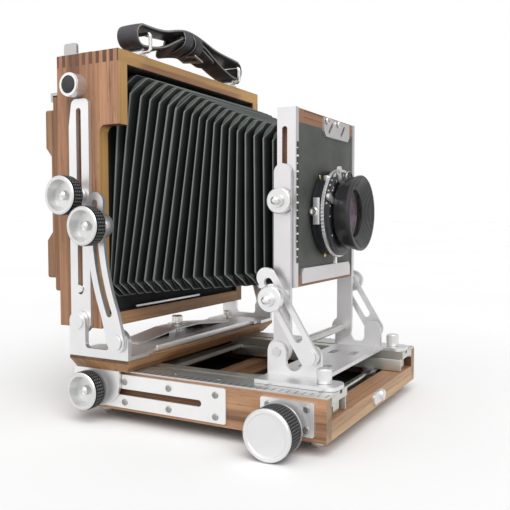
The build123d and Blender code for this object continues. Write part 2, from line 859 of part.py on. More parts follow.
# Clamp bolts: a flat head that slides in the channel and a shoulder that turns in the post
shank_radius = channel_slot / 2 - turn_gap * 3
with BuildPart() as clamp_bolts:
    with BuildSketch(across(wood_half + slide_gap, post_y, clamp_z)):
        RectangleRounded(clamp_head_width, clamp_head_height, 1.0)
    extrude(amount=channel_groove - 2 * slide_gap)
    with BuildSketch(across(channel_in - slide_gap, post_y, clamp_z)):
        Circle(shank_radius)
    extrude(amount=channel_wall + 2 * slide_gap)
    with BuildSketch(across(half_lens_frame + slide_gap, post_y, clamp_z)):
        Circle(clamp_shoulder_radius)
    extrude(amount=post_out - half_lens_frame - slide_gap)
    with BuildSketch(across(post_out, post_y, clamp_z)):
        Circle(stud_radius)
    extrude(amount=plate_gap + clamp_nut_hub + nut_length)
    mirror(about=Plane.YZ)
clamp_bolts.part.label = "clamp_bolts"
export_step(clamp_bolts.part, "parts/clamp_bolts.step")

# Lens frame: walnut rails round a window, rebated for the lens board
with BuildPart() as lens_frame:
    with BuildSketch(Plane.XZ.offset(-lens_frame_rear)):
        with Locations((0, (lens_frame_bottom + lens_frame_top) / 2)):
            Rectangle(2 * wood_half, lens_frame_height)
        with Locations((0, board_bottom + board_height / 2)):
            RectangleRounded(lens_window, lens_window, 4.0, mode=Mode.SUBTRACT)
    extrude(amount=lens_frame_rear - board_front)
    with BuildSketch(Plane.XZ.offset(-channel_y0)):
        with Locations((0, board_bottom + board_height / 2)):
            Rectangle(2 * wood_half, board_height)
    extrude(amount=board_thickness, mode=Mode.SUBTRACT)
lens_frame.part.label = "lens_frame"
export_step(lens_frame.part, "parts/lens_frame.step")

# Metal of the lens frame: two slotted side channels and the ledge under the lens board
ledge_top = board_bottom + ledge_overlap
with BuildPart() as frame_channels:
    with BuildSketch(Plane.XY.offset(lens_frame_bottom)):
        with BuildLine():
            Polyline(
                (half_lens_frame, lens_frame_front),
                (half_lens_frame, lens_frame_rear),
                (wood_half, lens_frame_rear),
                (wood_half, channel_y1),
                (channel_in, channel_y1),
                (channel_in, channel_y0),
                (wood_half, channel_y0),
                (wood_half, lens_frame_front),
                close=True,
            )
        make_face()
    extrude(amount=lens_frame_height)
    with BuildSketch(across(channel_in)):
        with Locations((post_y, (lens_frame_bottom + lens_frame_top) / 2)):
            SlotCenterToCenter(lens_frame_height - 2 * channel_slot_end, channel_slot, rotation=90)
    extrude(amount=channel_wall, mode=Mode.SUBTRACT)
    mirror(about=Plane.YZ)
    with BuildSketch(Plane.XZ.offset(-board_front)) as ledge_outline:
        with Locations((0, ledge_top)):
            Rectangle(ledge_width, ledge_height, align=(Align.CENTER, Align.MAX))
        chamfer(ledge_outline.vertices().group_by(Axis.Y)[-1], 3.0)
    extrude(amount=ledge_thickness)
frame_channels.part.label = "frame_channels"
export_step(frame_channels.part, "parts/frame_channels.step")

# Sliding clamp on the lens board's top edge, with two slanting slots
clamp_bottom = board_top - clamp_overlap
slot_step = clamp_slot_length / sqrt(2)
with BuildPart() as board_clamp:
    with BuildSketch(Plane.XZ.offset(-board_front)) as clamp_outline:
        with Locations((clamp_plate_left, clamp_bottom)):
            Rectangle(
                clamp_plate_right - clamp_plate_left, clamp_plate_height, align=(Align.MIN, Align.MIN)
            )
        chamfer(clamp_outline.vertices().group_by(Axis.Y)[0], 3.5)
        slot_z = clamp_bottom + clamp_plate_height / 2
        with Locations((clamp_plate_left + 12, slot_z), (clamp_plate_right - 14, slot_z)):
            SlotCenterToCenter(clamp_slot_length, clamp_slot_width, rotation=45, mode=Mode.SUBTRACT)
    extrude(amount=ledge_thickness)
board_clamp.part.label = "board_clamp"
export_step(board_clamp.part, "parts/board_clamp.step")

# Lens board, bored for the shutter
with BuildPart() as lens_board:
    with BuildSketch(Plane.XZ.offset(-channel_y0)):
        with Locations((0, board_bottom + board_height / 2)):
            RectangleRounded(board_width, board_height, board_corner)
        with Locations((0, lens_z)):
            Circle(shutter_spigot + turn_gap, mode=Mode.SUBTRACT)
    extrude(amount=board_thickness)
lens_board.part.label = "lens_board"
export_step(lens_board.part, "parts/lens_board.step")

# Shutter body with grooves for the aperture ring and the speed ring
aperture_y = board_front - aperture_ring_set
speed_y = board_front - speed_ring_set
shutter = turned_on_lens(
    [
        (channel_y0, shutter_bore),
        (channel_y0, shutter_spigot),
        (board_front, shutter_spigot),
        (board_front, shutter_radius - 1.5),
        (board_front - 1.5, shutter_radius),
        (aperture_y, shutter_radius),
        (aperture_y, ring_groove_radius),
        (aperture_y - aperture_ring_width - 2 * slide_gap, ring_groove_radius),
        (aperture_y - aperture_ring_width - 2 * slide_gap, shutter_radius),
        (speed_y, shutter_radius),
        (speed_y, ring_groove_radius),
        (speed_y - speed_ring_width - 2 * slide_gap, ring_groove_radius),
        (speed_y - speed_ring_width - 2 * slide_gap, shutter_radius - 0.5),
        (shutter_front + 1.0, shutter_radius - 0.5),
        (shutter_front, shutter_radius - 1.5),
        (shutter_front, shutter_bore),
    ]
)
shutter.label = "shutter_body"
export_step(shutter, "parts/shutter_body.step")

# Speed ring and aperture ring, each turning in its groove
lens_plane = Plane(origin=(0, 0, lens_z), x_dir=(1, 0, 0), z_dir=(0, -1, 0))
with BuildPart() as speed_ring:
    with BuildSketch(lens_plane.offset(-speed_y + slide_gap)):
        Circle(ring_radius)
        Circle(ring_groove_radius + plate_gap, mode=Mode.SUBTRACT)
    extrude(amount=speed_ring_width)
speed_ring.part.label = "speed_ring"
export_step(speed_ring.part, "parts/speed_ring.step")

tab_middle = (ring_groove_radius + plate_gap + ring_radius + aperture_tab_reach) / 2
tab_length = ring_radius + aperture_tab_reach - ring_groove_radius - plate_gap
with BuildPart() as aperture_lever:
    with BuildSketch(lens_plane.offset(-aperture_y + slide_gap)):
        Circle(shutter_radius)
        with PolarLocations(tab_middle, 1, start_angle=aperture_tab_angle):
            SlotOverall(tab_length, 3.0)
        Circle(ring_groove_radius + plate_gap, mode=Mode.SUBTRACT)
    extrude(amount=aperture_ring_width)
aperture_lever.part.label = "aperture_lever"
export_step(aperture_lever.part, "parts/aperture_lever.step")

# Cocking and release levers on the front of the shutter
lever_plane = lens_plane.offset(-shutter_front + slide_gap)
for lever_name, lever_angle in (("cocking_lever", cocking_angle), ("release_lever", release_angle)):
    with BuildPart() as lever:
        with BuildSketch(lever_plane):
            with PolarLocations(lever_pivot_radius + lever_reach / 2, 1, start_angle=lever_angle):
                SlotCenterToCenter(lever_reach, lever_width)
        extrude(amount=lever_thickness)
        with BuildSketch(lever_plane):
            with PolarLocations(lever_pivot_radius + lever_reach, 1, start_angle=lever_angle):
                Circle(lever_width / 2)
        extrude(amount=2 * lever_thickness)
    lever.part.label = lever_name
    export_step(lever.part, f"parts/{lever_name}.step")

# Lens cells: a flared front barrel and a rear barrel with its flange behind the board
barrel_front = shutter_front - barrel_length
glass_y = barrel_front + glass_set
front_cell = turned_on_lens(
    [
        (shutter_front, shutter_bore),
        (shutter_front, barrel_neck_radius),
        (shutter_front - barrel_neck_length, barrel_neck_radius),
        (shutter_front - barrel_neck_length, barrel_back_radius - 0.6),
        (shutter_front - barrel_neck_length - 0.6, barrel_back_radius),
        (barrel_front + barrel_rim_width, barrel_rim_radius - 0.5),
        (barrel_front + barrel_rim_width, barrel_rim_radius),
        (barrel_front + 0.6, barrel_rim_radius),
        (barrel_front, barrel_rim_radius - 0.6),
        (barrel_front, barrel_rim_radius - 1.8),
        (glass_y, glass_radius + 1.0),
        (glass_y, glass_radius),
        (glass_y + glass_thickness, glass_radius),
        (glass_y + glass_thickness, shutter_bore),
    ]
)
rear_end = channel_y0 + rear_flange_length + rear_barrel_length
rear_glass_y = rear_end - 2.0 * glass_thickness
rear_cell = turned_on_lens(
    [
        (channel_y0, shutter_bore),
        (channel_y0, rear_flange_radius),
        (channel_y0 + rear_flange_length, rear_flange_radius),
        (channel_y0 + rear_flange_length, rear_barrel_radius),
        (rear_end, rear_barrel_radius - 1.0),
        (rear_end, rear_glass_radius + 0.4),
        (rear_glass_y + glass_thickness, rear_glass_radius),
        (rear_glass_y, rear_glass_radius),
        (rear_glass_y, shutter_bore - 0.5),
    ]
)
with BuildPart() as lens_barrels:
    add(front_cell)
    add(rear_cell)
lens_barrels.part.label = "lens_barrels"
export_step(lens_barrels.part, "parts/lens_barrels.step")


def element(flat_y, radius, thickness, bulge):
    """Lens element with one flat face at flat_y and one domed face, towards -Y if bulge is negative."""
    step = thickness if bulge > 0 else -thickness
    profile_plane = Plane(origin=(0, 0, lens_z), x_dir=(0, 1, 0), z_dir=(1, 0, 0))
    with BuildPart() as piece:
        with BuildSketch(profile_plane):
            with BuildLine():
                Line((flat_y, 0), (flat_y, radius))
                Line((flat_y, radius), (flat_y + step, radius))
                dome = RadiusArc(
                    (flat_y + step, radius),
                    (flat_y + step + bulge, 0),
                    (1 if bulge > 0 else -1) * (radius**2 + bulge**2) / (2 * abs(bulge)),
                )
                Line(dome @ 1, (flat_y, 0))
            make_face()
        revolve(axis=Axis((0, 0, lens_z), (0, 1, 0)))
    return piece.part


with BuildPart() as lens_elements:
    add(element(glass_y + glass_thickness, glass_radius - turn_gap, glass_thickness, -glass_bulge))
    add(element(rear_glass_y, rear_glass_radius - turn_gap, glass_thickness, glass_bulge))
lens_elements.part.label = "lens_elements"
export_step(lens_elements.part, "parts/lens_elements.step")


def bellows_section(step, inset):
    """Half width, half height, corner, middle height and Y of the bellows at a half pleat."""
    share = step / (2 * pleat_count)
    side_out = 0 if step % 2 else 1
    width = bellows_front_width + share * (bellows_rear_width - bellows_front_width)
    height = bellows_front_height + share * (bellows_rear_height - bellows_front_height)
    half_width = width / 2 - (1 - side_out) * pleat_depth - inset
    half_height = height / 2 - side_out * pleat_depth - inset
    middle = bellows_front_z + share * (bellows_rear_z - bellows_front_z)
    y = lens_frame_rear + share * (bellows_rear_y - lens_frame_rear)
    return half_width, half_height, bellows_corner, middle, y


def pleated(inset):
    """Ruled loft through eight-sided sections at every half pleat."""
    with BuildPart() as piece:
        for step in range(2 * pleat_count + 1):
            half_width, half_height, corner, middle, y = bellows_section(step, inset)
            with BuildSketch(Plane.XZ.offset(-y)):
                with BuildLine():
                    Polyline(
                        (half_width, middle - half_height + corner),
                        (half_width, middle + half_height - corner),
                        (half_width - corner, middle + half_height),
                        (corner - half_width, middle + half_height),
                        (-half_width, middle + half_height - corner),
                        (-half_width, middle - half_height + corner),
                        (corner - half_width, middle - half_height),
                        (half_width - corner, middle - half_height),
                        close=True,
                    )
                make_face()
        loft(ruled=True)
    return piece.part


# Pleated bellows: sides and top fold outwards by turns, with slanted corners
with BuildPart() as bellows:
    add(pleated(0.0))
    add(pleated(bellows_wall), mode=Mode.SUBTRACT)
bellows.part.label = "bellows"
export_step(bellows.part, "parts/bellows.step")

# Carriage board: walnut, with undercut ends and front edge, and a cross slot for the swing pivot
with BuildPart() as carriage_board:
    with BuildSketch(Plane.XZ.offset(-carriage_rear)):
        with BuildLine():
            Polyline(
                (-ear_out, carriage_top),
                (ear_out, carriage_top),
                (ear_out, carriage_top - carriage_edge),
                (cheek_out, carriage_bottom),
                (-cheek_out, carriage_bottom),
                (-ear_out, carriage_top - carriage_edge),
                close=True,
            )
        make_face()
    extrude(amount=carriage_rear - carriage_front)
    with BuildSketch(across(-ear_out)):
        with BuildLine():
            Polyline(
                (carriage_front, carriage_top - carriage_edge),
                (carriage_front, carriage_bottom),
                (carriage_front + carriage_undercut, carriage_bottom),
                close=True,
            )
        make_face()
    extrude(amount=2 * ear_out, mode=Mode.SUBTRACT)
    with BuildSketch(Plane.XY.offset(carriage_bottom)):
        with Locations((0, pivot_y)):
            SlotCenterToCenter(2 * shift_travel, 2 * (pivot_radius + slide_gap))
    extrude(amount=carriage_thickness, mode=Mode.SUBTRACT)
carriage_board.part.label = "carriage_board"
export_step(carriage_board.part, "parts/carriage_board.step")

# Cheeks that hang from the carriage beside the bed
with BuildPart() as carriage_cheeks:
    with BuildSketch(across(cheek_in)) as cheek_outline:
        with Locations((cheek_front, carriage_bottom)):
            Rectangle(
                cheek_rear - cheek_front, carriage_bottom - cheek_bottom, align=(Align.MIN, Align.MAX)
            )
        fillet(cheek_outline.vertices().group_by(Axis.Y)[0].sort_by(Axis.X)[0], cheek_round)
        with Locations((carriage_lock_y, lock_slot_z)):
            Circle(stud_radius + turn_gap, mode=Mode.SUBTRACT)
    extrude(amount=cheek_thickness)
    mirror(about=Plane.YZ)
carriage_cheeks.part.label = "carriage_cheeks"
export_step(carriage_cheeks.part, "parts/carriage_cheeks.step")


def cup_knob(boss_x, boss_radius, band_x, stud_end):
    """Knob with a knurled band, a hollow face and a centre pin, bored for a stud that ends at stud_end."""
    face = band_x + knob_length
    floor = face - knob_cup_depth
    return [
        (boss_x, stud_radius + turn_gap),
        (boss_x, boss_radius),
        (band_x, boss_radius),
        (band_x, knob_radius - 0.8),
        (band_x + 0.8, knob_radius),
        (face - 0.8, knob_radius),
        (face, knob_radius - 0.8),
        (face, knob_radius - knob_rim),
        (floor, knob_radius - knob_rim - 1.5),
        (floor, stud_radius + 1.4),
        (face - 3.2, stud_radius + 0.9),
        (face - 2.0, stud_radius - 0.6),
        (face - 2.0, 0.0),
        (stud_end + turn_gap, 0.0),
        (stud_end + turn_gap, stud_radius + turn_gap),
    ]


# Carriage lock knobs, each on a bolt whose head slides in the bed's side groove
carriage_band_x = cheek_out + slide_gap + knob_seat
bolt_profile_x = half_bed - slide_gap
for name, side in sides.items():
    profile = cup_knob(cheek_out + slide_gap, knob_boss_radius, carriage_band_x, carriage_band_x + knob_seat)
    bolt = [
        (bolt_profile_x - lock_head_depth, 0.0),
        (bolt_profile_x - lock_head_depth, lock_head_radius),
        (bolt_profile_x, lock_head_radius),
        (bolt_profile_x, stud_radius),
        (cheek_out + slide_gap, stud_radius),
    ]
    carriage_knob = turned(bolt + profile[1:-2], carriage_lock_y, lock_slot_z, side)
    carriage_knob.label = f"carriage_knob_{name}"
    export_step(carriage_knob, f"parts/carriage_knob_{name}.step")

# Swing pivot: a headed stud that slides across in the carriage's slot
pivot_top = bracket_top + spring_rise + spring_thickness + swing_knob_height / 2
with BuildPart() as swing_pivot:
    with BuildSketch(Plane.XY.offset(carriage_bottom - slide_gap)):
        with Locations((0, pivot_y)):
            Circle(pivot_head_radius)
    extrude(amount=-pivot_head_length)
    with BuildSketch(Plane.XY.offset(carriage_bottom - slide_gap)):
        with Locations((0, pivot_y)):
            Circle(pivot_radius)
    extrude(amount=bracket_top - carriage_bottom + slide_gap)
    with BuildSketch(Plane.XY.offset(bracket_top)):
        with Locations((0, pivot_y)):
            Circle(stud_radius)
    extrude(amount=pivot_top - bracket_top)
swing_pivot.part.label = "swing_pivot"
export_step(swing_pivot.part, "parts/swing_pivot.step")

# Rear bracket: a waisted base plate with an upright at each end for the arm and the strut
upright_front = rear_strut_y - front_ear_radius
upright_rear = arm_y + rear_ear_radius
with BuildPart() as rear_bracket:
    with BuildSketch(Plane.XY.offset(bracket_z)):
        with Locations((0, upright_front + bracket_waist)):
            Rectangle(
                2 * ear_out,
                upright_rear - upright_front - 2 * bracket_waist,
                align=(Align.CENTER, Align.MIN),
            )
        with Locations((ear_out, upright_front), (bracket_end_length - ear_out, upright_front)):
            Rectangle(bracket_end_length, upright_rear - upright_front, align=(Align.MAX, Align.MIN))
        step_length = bracket_end_length + bracket_step
        step_front = upright_front + bracket_waist / 2
        with Locations((ear_out, step_front), (step_length - ear_out, step_front)):
            Rectangle(step_length, upright_rear - step_front, align=(Align.MAX, Align.MIN))
        with Locations((0, pivot_y)):
            Circle(pivot_radius + turn_gap, mode=Mode.SUBTRACT)
    extrude(amount=bracket_base)
    with BuildSketch(across(ear_in)) as upright:
        with Locations((upright_front, bracket_z)):
            Rectangle(
                upright_rear - upright_front, bracket_notch_z - bracket_z, align=(Align.MIN, Align.MIN)
            )
        with Locations((arm_y, bracket_z)):
            Rectangle(2 * rear_ear_radius, arm_pivot_z - bracket_z, align=(Align.CENTER, Align.MIN))
        with Locations((rear_strut_y, bracket_z)):
            Rectangle(2 * front_ear_radius, rear_strut_z - bracket_z, align=(Align.CENTER, Align.MIN))
        with Locations((arm_y, arm_pivot_z)):
            Circle(rear_ear_radius)
        with Locations((rear_strut_y, rear_strut_z)):
            Circle(front_ear_radius)
        notch_corners = upright.vertices().filter_by_position(
            Axis.Y, bracket_notch_z - turn_gap, bracket_notch_z + turn_gap
        )
        fillet(notch_corners, bracket_notch_round)
    extrude(amount=rear_bracket_thickness)
    with BuildSketch(across(arm_in, arm_y, arm_pivot_z)):
        Circle(pin_radius)
    extrude(amount=ear_out - arm_in)
    with BuildSketch(across(ear_out, arm_y, arm_pivot_z)):
        Circle(pin_head_radius)
    extrude(amount=pin_head_length)
    with BuildSketch(across(ear_out, rear_strut_y, rear_strut_z)):
        Circle(pin_radius)
    extrude(amount=rear_knob_x - ear_out)
    with BuildSketch(across(rear_knob_x, rear_strut_y, rear_strut_z)):
        Circle(pin_head_radius)
    extrude(amount=pin_head_length)
    mirror(about=Plane.YZ)
rear_bracket.part.label = "rear_bracket"
export_step(rear_bracket.part, "parts/rear_bracket.step")

# Arched spring plate over the bracket, which the swing lock presses down
spring_top = bracket_top + spring_rise
with BuildPart() as swing_spring:
    with BuildSketch(Plane.XZ.offset(-pivot_y - spring_width / 2)):
        with BuildLine():
            Polyline(
                (-spring_half_length, bracket_top),
                (-spring_half_length + spring_flat / 2, bracket_top),
                (-spring_flat, spring_top),
                (spring_flat, spring_top),
                (spring_half_length - spring_flat / 2, bracket_top),
                (spring_half_length, bracket_top),
                (spring_half_length, bracket_top + spring_thickness),
                (spring_half_length - spring_flat / 2, bracket_top + spring_thickness),
                (spring_flat, spring_top + spring_thickness),
                (-spring_flat, spring_top + spring_thickness),
                (-spring_half_length + spring_flat / 2, bracket_top + spring_thickness),
                (-spring_half_length, bracket_top + spring_thickness),
                close=True,
            )
        make_face()
    extrude(amount=spring_width)
    with BuildSketch(Plane.XY.offset(bracket_top)):
        with Locations((0, pivot_y)):
            Circle(stud_radius + stud_gap)
    extrude(amount=spring_rise + spring_thickness, mode=Mode.SUBTRACT)
swing_spring.part.label = "swing_spring"
export_step(swing_spring.part, "parts/swing_spring.step")


def small_knob(x, y, bottom, radius, height, bore_top):
    """Short knurled knob about a vertical axis with a narrower collar, bored from below up to bore_top."""
    with BuildPart() as piece:
        with BuildSketch(Plane.XY.offset(bottom)):
            with Locations((x, y)):
                Circle(radius * 0.7)
        extrude(amount=height * 0.25)
        with BuildSketch(Plane.XY.offset(bottom + height * 0.25)):
            with Locations((x, y)):
                Circle(radius)
        extrude(amount=height * 0.75)
        chamfer(piece.edges().group_by(Axis.Z)[-1], 0.6)
        if bore_top > bottom:
            with BuildSketch(Plane.XY.offset(bottom)):
                with Locations((x, y)):
                    Circle(stud_radius + turn_gap)
            extrude(amount=bore_top - bottom, mode=Mode.SUBTRACT)
    return piece.part


# Swing lock on the pivot and shift lock on the bracket's far end
swing_lock = small_knob(
    0.0,
    pivot_y,
    spring_top + spring_thickness + slide_gap,
    swing_knob_radius,
    swing_knob_height,
    pivot_top + slide_gap,
)
swing_lock.label = "swing_lock"
export_step(swing_lock, "parts/swing_lock.step")
shift_lock = small_knob(
    shift_lock_x, pivot_y, bracket_top + slide_gap, shift_knob_radius, shift_knob_height, bracket_top
)
shift_lock.label = "shift_lock"
export_step(shift_lock, "parts/shift_lock.step")

# Slotted arms that carry the rear frame, each with a forward ear and a stud for its strut
with BuildPart() as rear_arms:
    with BuildSketch(across(arm_in)) as arm_outline:
        with BuildLine():
            Polyline(
                (arm_y - arm_width / 2, arm_pivot_z),
                (arm_y - arm_width / 2, arm_top),
                (arm_y + arm_width / 2 - arm_taper, arm_top),
                (arm_y + arm_width / 2, arm_top - arm_taper_length),
                (arm_y + arm_width / 2, arm_pivot_z),
                close=True,
            )
        make_face()
        fillet(arm_outline.vertices().group_by(Axis.Y)[-1], arm_round)
        with Locations((arm_y, arm_pivot_z)):
            Circle(arm_width / 2)
        with Locations(((arm_y + rear_stud_y) / 2, rear_stud_z)):
            SlotCenterToCenter(arm_y - rear_stud_y, arm_ear_width)
        with Locations((arm_y, (arm_slot_bottom + arm_slot_top) / 2)):
            SlotOverall(
                arm_slot_top - arm_slot_bottom,
                2 * (stud_radius + slide_gap),
                rotation=90,
                mode=Mode.SUBTRACT,
            )
        with Locations((arm_y, arm_pivot_z)):
            Circle(pin_radius + turn_gap, mode=Mode.SUBTRACT)
    extrude(amount=arm_thickness)
    with BuildSketch(across(arm_out, rear_stud_y, rear_stud_z)):
        Circle(pin_head_radius)
    extrude(amount=ear_out - arm_out)
    with BuildSketch(across(ear_out, rear_stud_y, rear_stud_z)):
        Circle(stud_radius)
    extrude(amount=rear_stud_end - ear_out)
    mirror(about=Plane.YZ)
rear_arms.part.label = "rear_arms"
export_step(rear_arms.part, "parts/rear_arms.step")

# Bowed struts: a slot along an arc through the arm's stud, and a straight foot to the pivot
slot_foot = (rear_strut_y + rear_slot_lean, rear_strut_z + rear_slot_low)
slot_head = (rear_stud_y - rear_slot_back, rear_stud_z + rear_slot_high)
foot_run = slot_foot[0] - rear_strut_y
foot_rise = slot_foot[1] - rear_strut_z
bow = ThreePointArc(slot_foot, (rear_stud_y, rear_stud_z), slot_head)
with BuildPart() as rear_struts:
    with BuildSketch(across(rear_strut_in)):
        SlotArc(bow, rear_strut_width)
        with Locations((rear_strut_y + foot_run / 2, rear_strut_z + foot_rise / 2)):
            SlotCenterToCenter(
                hypot(foot_run, foot_rise),
                rear_strut_width,
                rotation=degrees(atan2(foot_rise, foot_run)),
            )
        SlotArc(bow, 2 * (stud_radius + stud_gap), mode=Mode.SUBTRACT)
        with Locations((rear_strut_y, rear_strut_z)):
            Circle(pin_radius + turn_gap, mode=Mode.SUBTRACT)
    extrude(amount=rear_strut_thickness)
    mirror(about=Plane.YZ)
rear_struts.part.label = "rear_struts"
export_step(rear_struts.part, "parts/rear_struts.step")

# Clamp knobs on the struts and on the arms
for name, side in sides.items():
    strut_knob = turned(
        cup_knob(rear_knob_x, knob_boss_radius, rear_band_x, rear_stud_end), rear_stud_y, rear_stud_z, side
    )
    strut_knob.label = f"strut_knob_{name}"
    export_step(strut_knob, f"parts/strut_knob_{name}.step")
    arm_knob = turned(
        cup_knob(arm_out + plate_gap, knob_boss_radius, rear_band_x, rear_stud_end),
        arm_y,
        arm_bolt_z,
        side,
    )
    arm_knob.label = f"arm_knob_{name}"
    export_step(arm_knob, f"parts/arm_knob_{name}.step")

# Rear frame: walnut boards with forward ears at the top, and an inner ledge for the bellows
with BuildPart() as rear_frame:
    with BuildSketch(across(half_frame - frame_board)) as frame_side:
        with BuildLine():
            Polyline(
                (frame_front, frame_bottom),
                (frame_rear, frame_bottom),
                (frame_rear, frame_top),
                (ear_front, frame_top),
                (ear_front, ear_bottom),
                (frame_front, ear_bottom),
                close=True,
            )
        make_face()
        inner_corner = frame_side.vertices().group_by(Axis.Y)[1].sort_by(Axis.X)[-1]
        fillet(inner_corner, ear_round)
    extrude(amount=frame_board)
    mirror(about=Plane.YZ)
    with BuildSketch(Plane.XY.offset(frame_top)):
        with Locations((0, ear_front)):
            Rectangle(2 * half_frame, frame_rear - ear_front, align=(Align.CENTER, Align.MIN))
    extrude(amount=-frame_board)
    with BuildSketch(Plane.XY.offset(frame_bottom)):
        with Locations((0, frame_front)):
            Rectangle(
                2 * (half_frame - frame_board), frame_rear - frame_front, align=(Align.CENTER, Align.MIN)
            )
    extrude(amount=frame_board)
    with BuildSketch(Plane.XZ.offset(-bellows_rear_y - frame_ledge_thickness)):
        with Locations((0, frame_bottom + frame_height / 2)):
            Rectangle(2 * (half_frame - frame_board), frame_height - 2 * frame_board)
            RectangleRounded(
                2 * (half_frame - frame_board - frame_ledge),
                frame_height - 2 * frame_board - 2 * frame_ledge,
                3.0,
                mode=Mode.SUBTRACT,
            )
    extrude(amount=frame_ledge_thickness)
rear_frame.part.label = "rear_frame"
export_step(rear_frame.part, "parts/rear_frame.step")

# Studs on the rear frame's sides: clamp bolts, guide screws and round side buttons
with BuildPart() as frame_studs:
    with BuildSketch(across(half_frame, arm_y, arm_bolt_z)):
        Circle(stud_radius)
    extrude(amount=rear_stud_end - half_frame)
    with BuildSketch(across(half_frame, arm_y, guide_screw_z)):
        Circle(stud_radius)
    extrude(amount=ear_in - half_frame)
    with BuildSketch(across(ear_in, arm_y, guide_screw_z)):
        Circle(guide_screw_radius)
    extrude(amount=1.0)
    with BuildSketch(across(half_frame, button_y, button_z)):
        Circle(button_radius)
    extrude(amount=button_length)
    with BuildSketch(across(half_frame + button_length, button_y, button_z)):
        Circle(button_radius - 0.3)
        Circle(button_face_radius, mode=Mode.SUBTRACT)
    extrude(amount=button_rim)
    mirror(about=Plane.YZ)
frame_studs.part.label = "frame_studs"
export_step(frame_studs.part, "parts/frame_studs.step")

# Back panel with the film opening
with BuildPart() as back_panel:
    with BuildSketch(Plane.XZ.offset(-back_rear)):
        with Locations((0, back_z)):
            RectangleRounded(back_width, back_height, 2.0)
            Rectangle(film_width, film_height, mode=Mode.SUBTRACT)
    extrude(amount=back_thickness)
back_panel.part.label = "back_panel"
export_step(back_panel.part, "parts/back_panel.step")

# Focusing frame: holds the ground glass, with a sloped finger notch at each end
with BuildPart() as focusing_frame:
    with BuildSketch(Plane.XZ.offset(-focusing_rear)):
        with Locations((0, back_z)):
            RectangleRounded(focusing_width, focusing_height, 2.0)
            Rectangle(film_width, film_height, mode=Mode.SUBTRACT)
    extrude(amount=focusing_thickness)
    with BuildSketch(Plane.XZ.offset(-focusing_front - glass_sheet)):
        with Locations((0, back_z)):
            Rectangle(film_width + 2 * glass_lap, film_height + 2 * glass_lap)
    extrude(amount=glass_sheet, mode=Mode.SUBTRACT)
    with BuildSketch(across(focusing_width / 2 - finger_width)):
        with BuildLine():
            Polyline(
                (focusing_rear, back_z - finger_height / 2 - finger_slope),
                (focusing_rear, back_z + finger_height / 2 + finger_slope),
                (focusing_rear - focusing_recess, back_z + finger_height / 2),
                (focusing_rear - focusing_recess, back_z - finger_height / 2),
                close=True,
            )
        make_face()
    extrude(amount=finger_width, mode=Mode.SUBTRACT)
    with BuildSketch(across(-focusing_width / 2)):
        with BuildLine():
            Polyline(
                (focusing_rear, back_z - finger_height / 2 - finger_slope),
                (focusing_rear, back_z + finger_height / 2 + finger_slope),
                (focusing_rear - focusing_recess, back_z + finger_height / 2),
                (focusing_rear - focusing_recess, back_z - finger_height / 2),
                close=True,
            )
        make_face()
    extrude(amount=finger_width, mode=Mode.SUBTRACT)
focusing_frame.part.label = "focusing_frame"
export_step(focusing_frame.part, "parts/focusing_frame.step")

# Ground glass in the focusing frame's rebate
with BuildPart() as ground_glass:
    with BuildSketch(Plane.XZ.offset(-focusing_front - glass_sheet)):
        with Locations((0, back_z)):
            Rectangle(film_width + 2 * glass_lap - slide_gap, film_height + 2 * glass_lap - slide_gap)
    extrude(amount=glass_sheet)
ground_glass.part.label = "ground_glass"
export_step(ground_glass.part, "parts/ground_glass.step")

# Leaf springs above and below: a strip on two posts with a tab that presses the focusing frame
leaf_y = focusing_rear + plate_gap
leaf_z = (focusing_height + leaf_width) / 2 + 1.0
with BuildPart() as back_springs:
    for flip in (-1, 1):
        with BuildSketch(Plane.XZ.offset(-leaf_y - leaf_thickness)):
            with Locations((0, back_z + flip * leaf_z)):
                Rectangle(2 * leaf_half_length, leaf_width)
            with Locations((0, back_z + flip * (leaf_z - leaf_lap / 2))):
                Rectangle(leaf_tab, leaf_width + leaf_lap)
        extrude(amount=leaf_thickness)
        with BuildSketch(Plane.XZ.offset(-leaf_y)):
            with Locations(
                (leaf_half_length - leaf_width, back_z + flip * leaf_z),
                (leaf_width - leaf_half_length, back_z + flip * leaf_z),
            ):
                Circle(leaf_post_radius)
        extrude(amount=leaf_y - back_rear)
back_springs.part.label = "back_springs"
export_step(back_springs.part, "parts/back_springs.step")

# Back latches: a thumb tab above the frame and a hook over the back panel's top edge
latch_y = frame_rear + slide_gap
hook_y = back_rear + slide_gap
back_top = back_z + back_height / 2
hook_z = back_top + slide_gap
latch_top = frame_top + slide_gap + latch_thickness
with BuildPart() as back_latches:
    with BuildSketch(across(latch_x - latch_width / 2)):
        with BuildLine():
            Polyline(
                (latch_y, hook_z),
                (latch_y, frame_top + slide_gap),
                (latch_y - latch_plate_depth, frame_top + slide_gap),
                (latch_y - latch_plate_depth, latch_top),
                (latch_y + latch_thickness, latch_top),
                (latch_y + latch_thickness, hook_z + latch_thickness),
                (hook_y + latch_thickness, hook_z + latch_thickness),
                (hook_y + latch_thickness, back_top - latch_lap),
                (hook_y, back_top - latch_lap),
                (hook_y, hook_z),
                close=True,
            )
        make_face()
    extrude(amount=latch_width)
    with BuildSketch(across(latch_x + latch_width / 2 - latch_thickness)) as thumb_tab:
        with Locations((latch_y - latch_tab_inset, latch_top)):
            Rectangle(latch_tab_length, latch_tab_height, align=(Align.MAX, Align.MIN))
        fillet(thumb_tab.vertices().group_by(Axis.Y)[-1], latch_tab_round)
    extrude(amount=latch_thickness)
    mirror(about=Plane.YZ)
back_latches.part.label = "back_latches"
export_step(back_latches.part, "parts/back_latches.step")

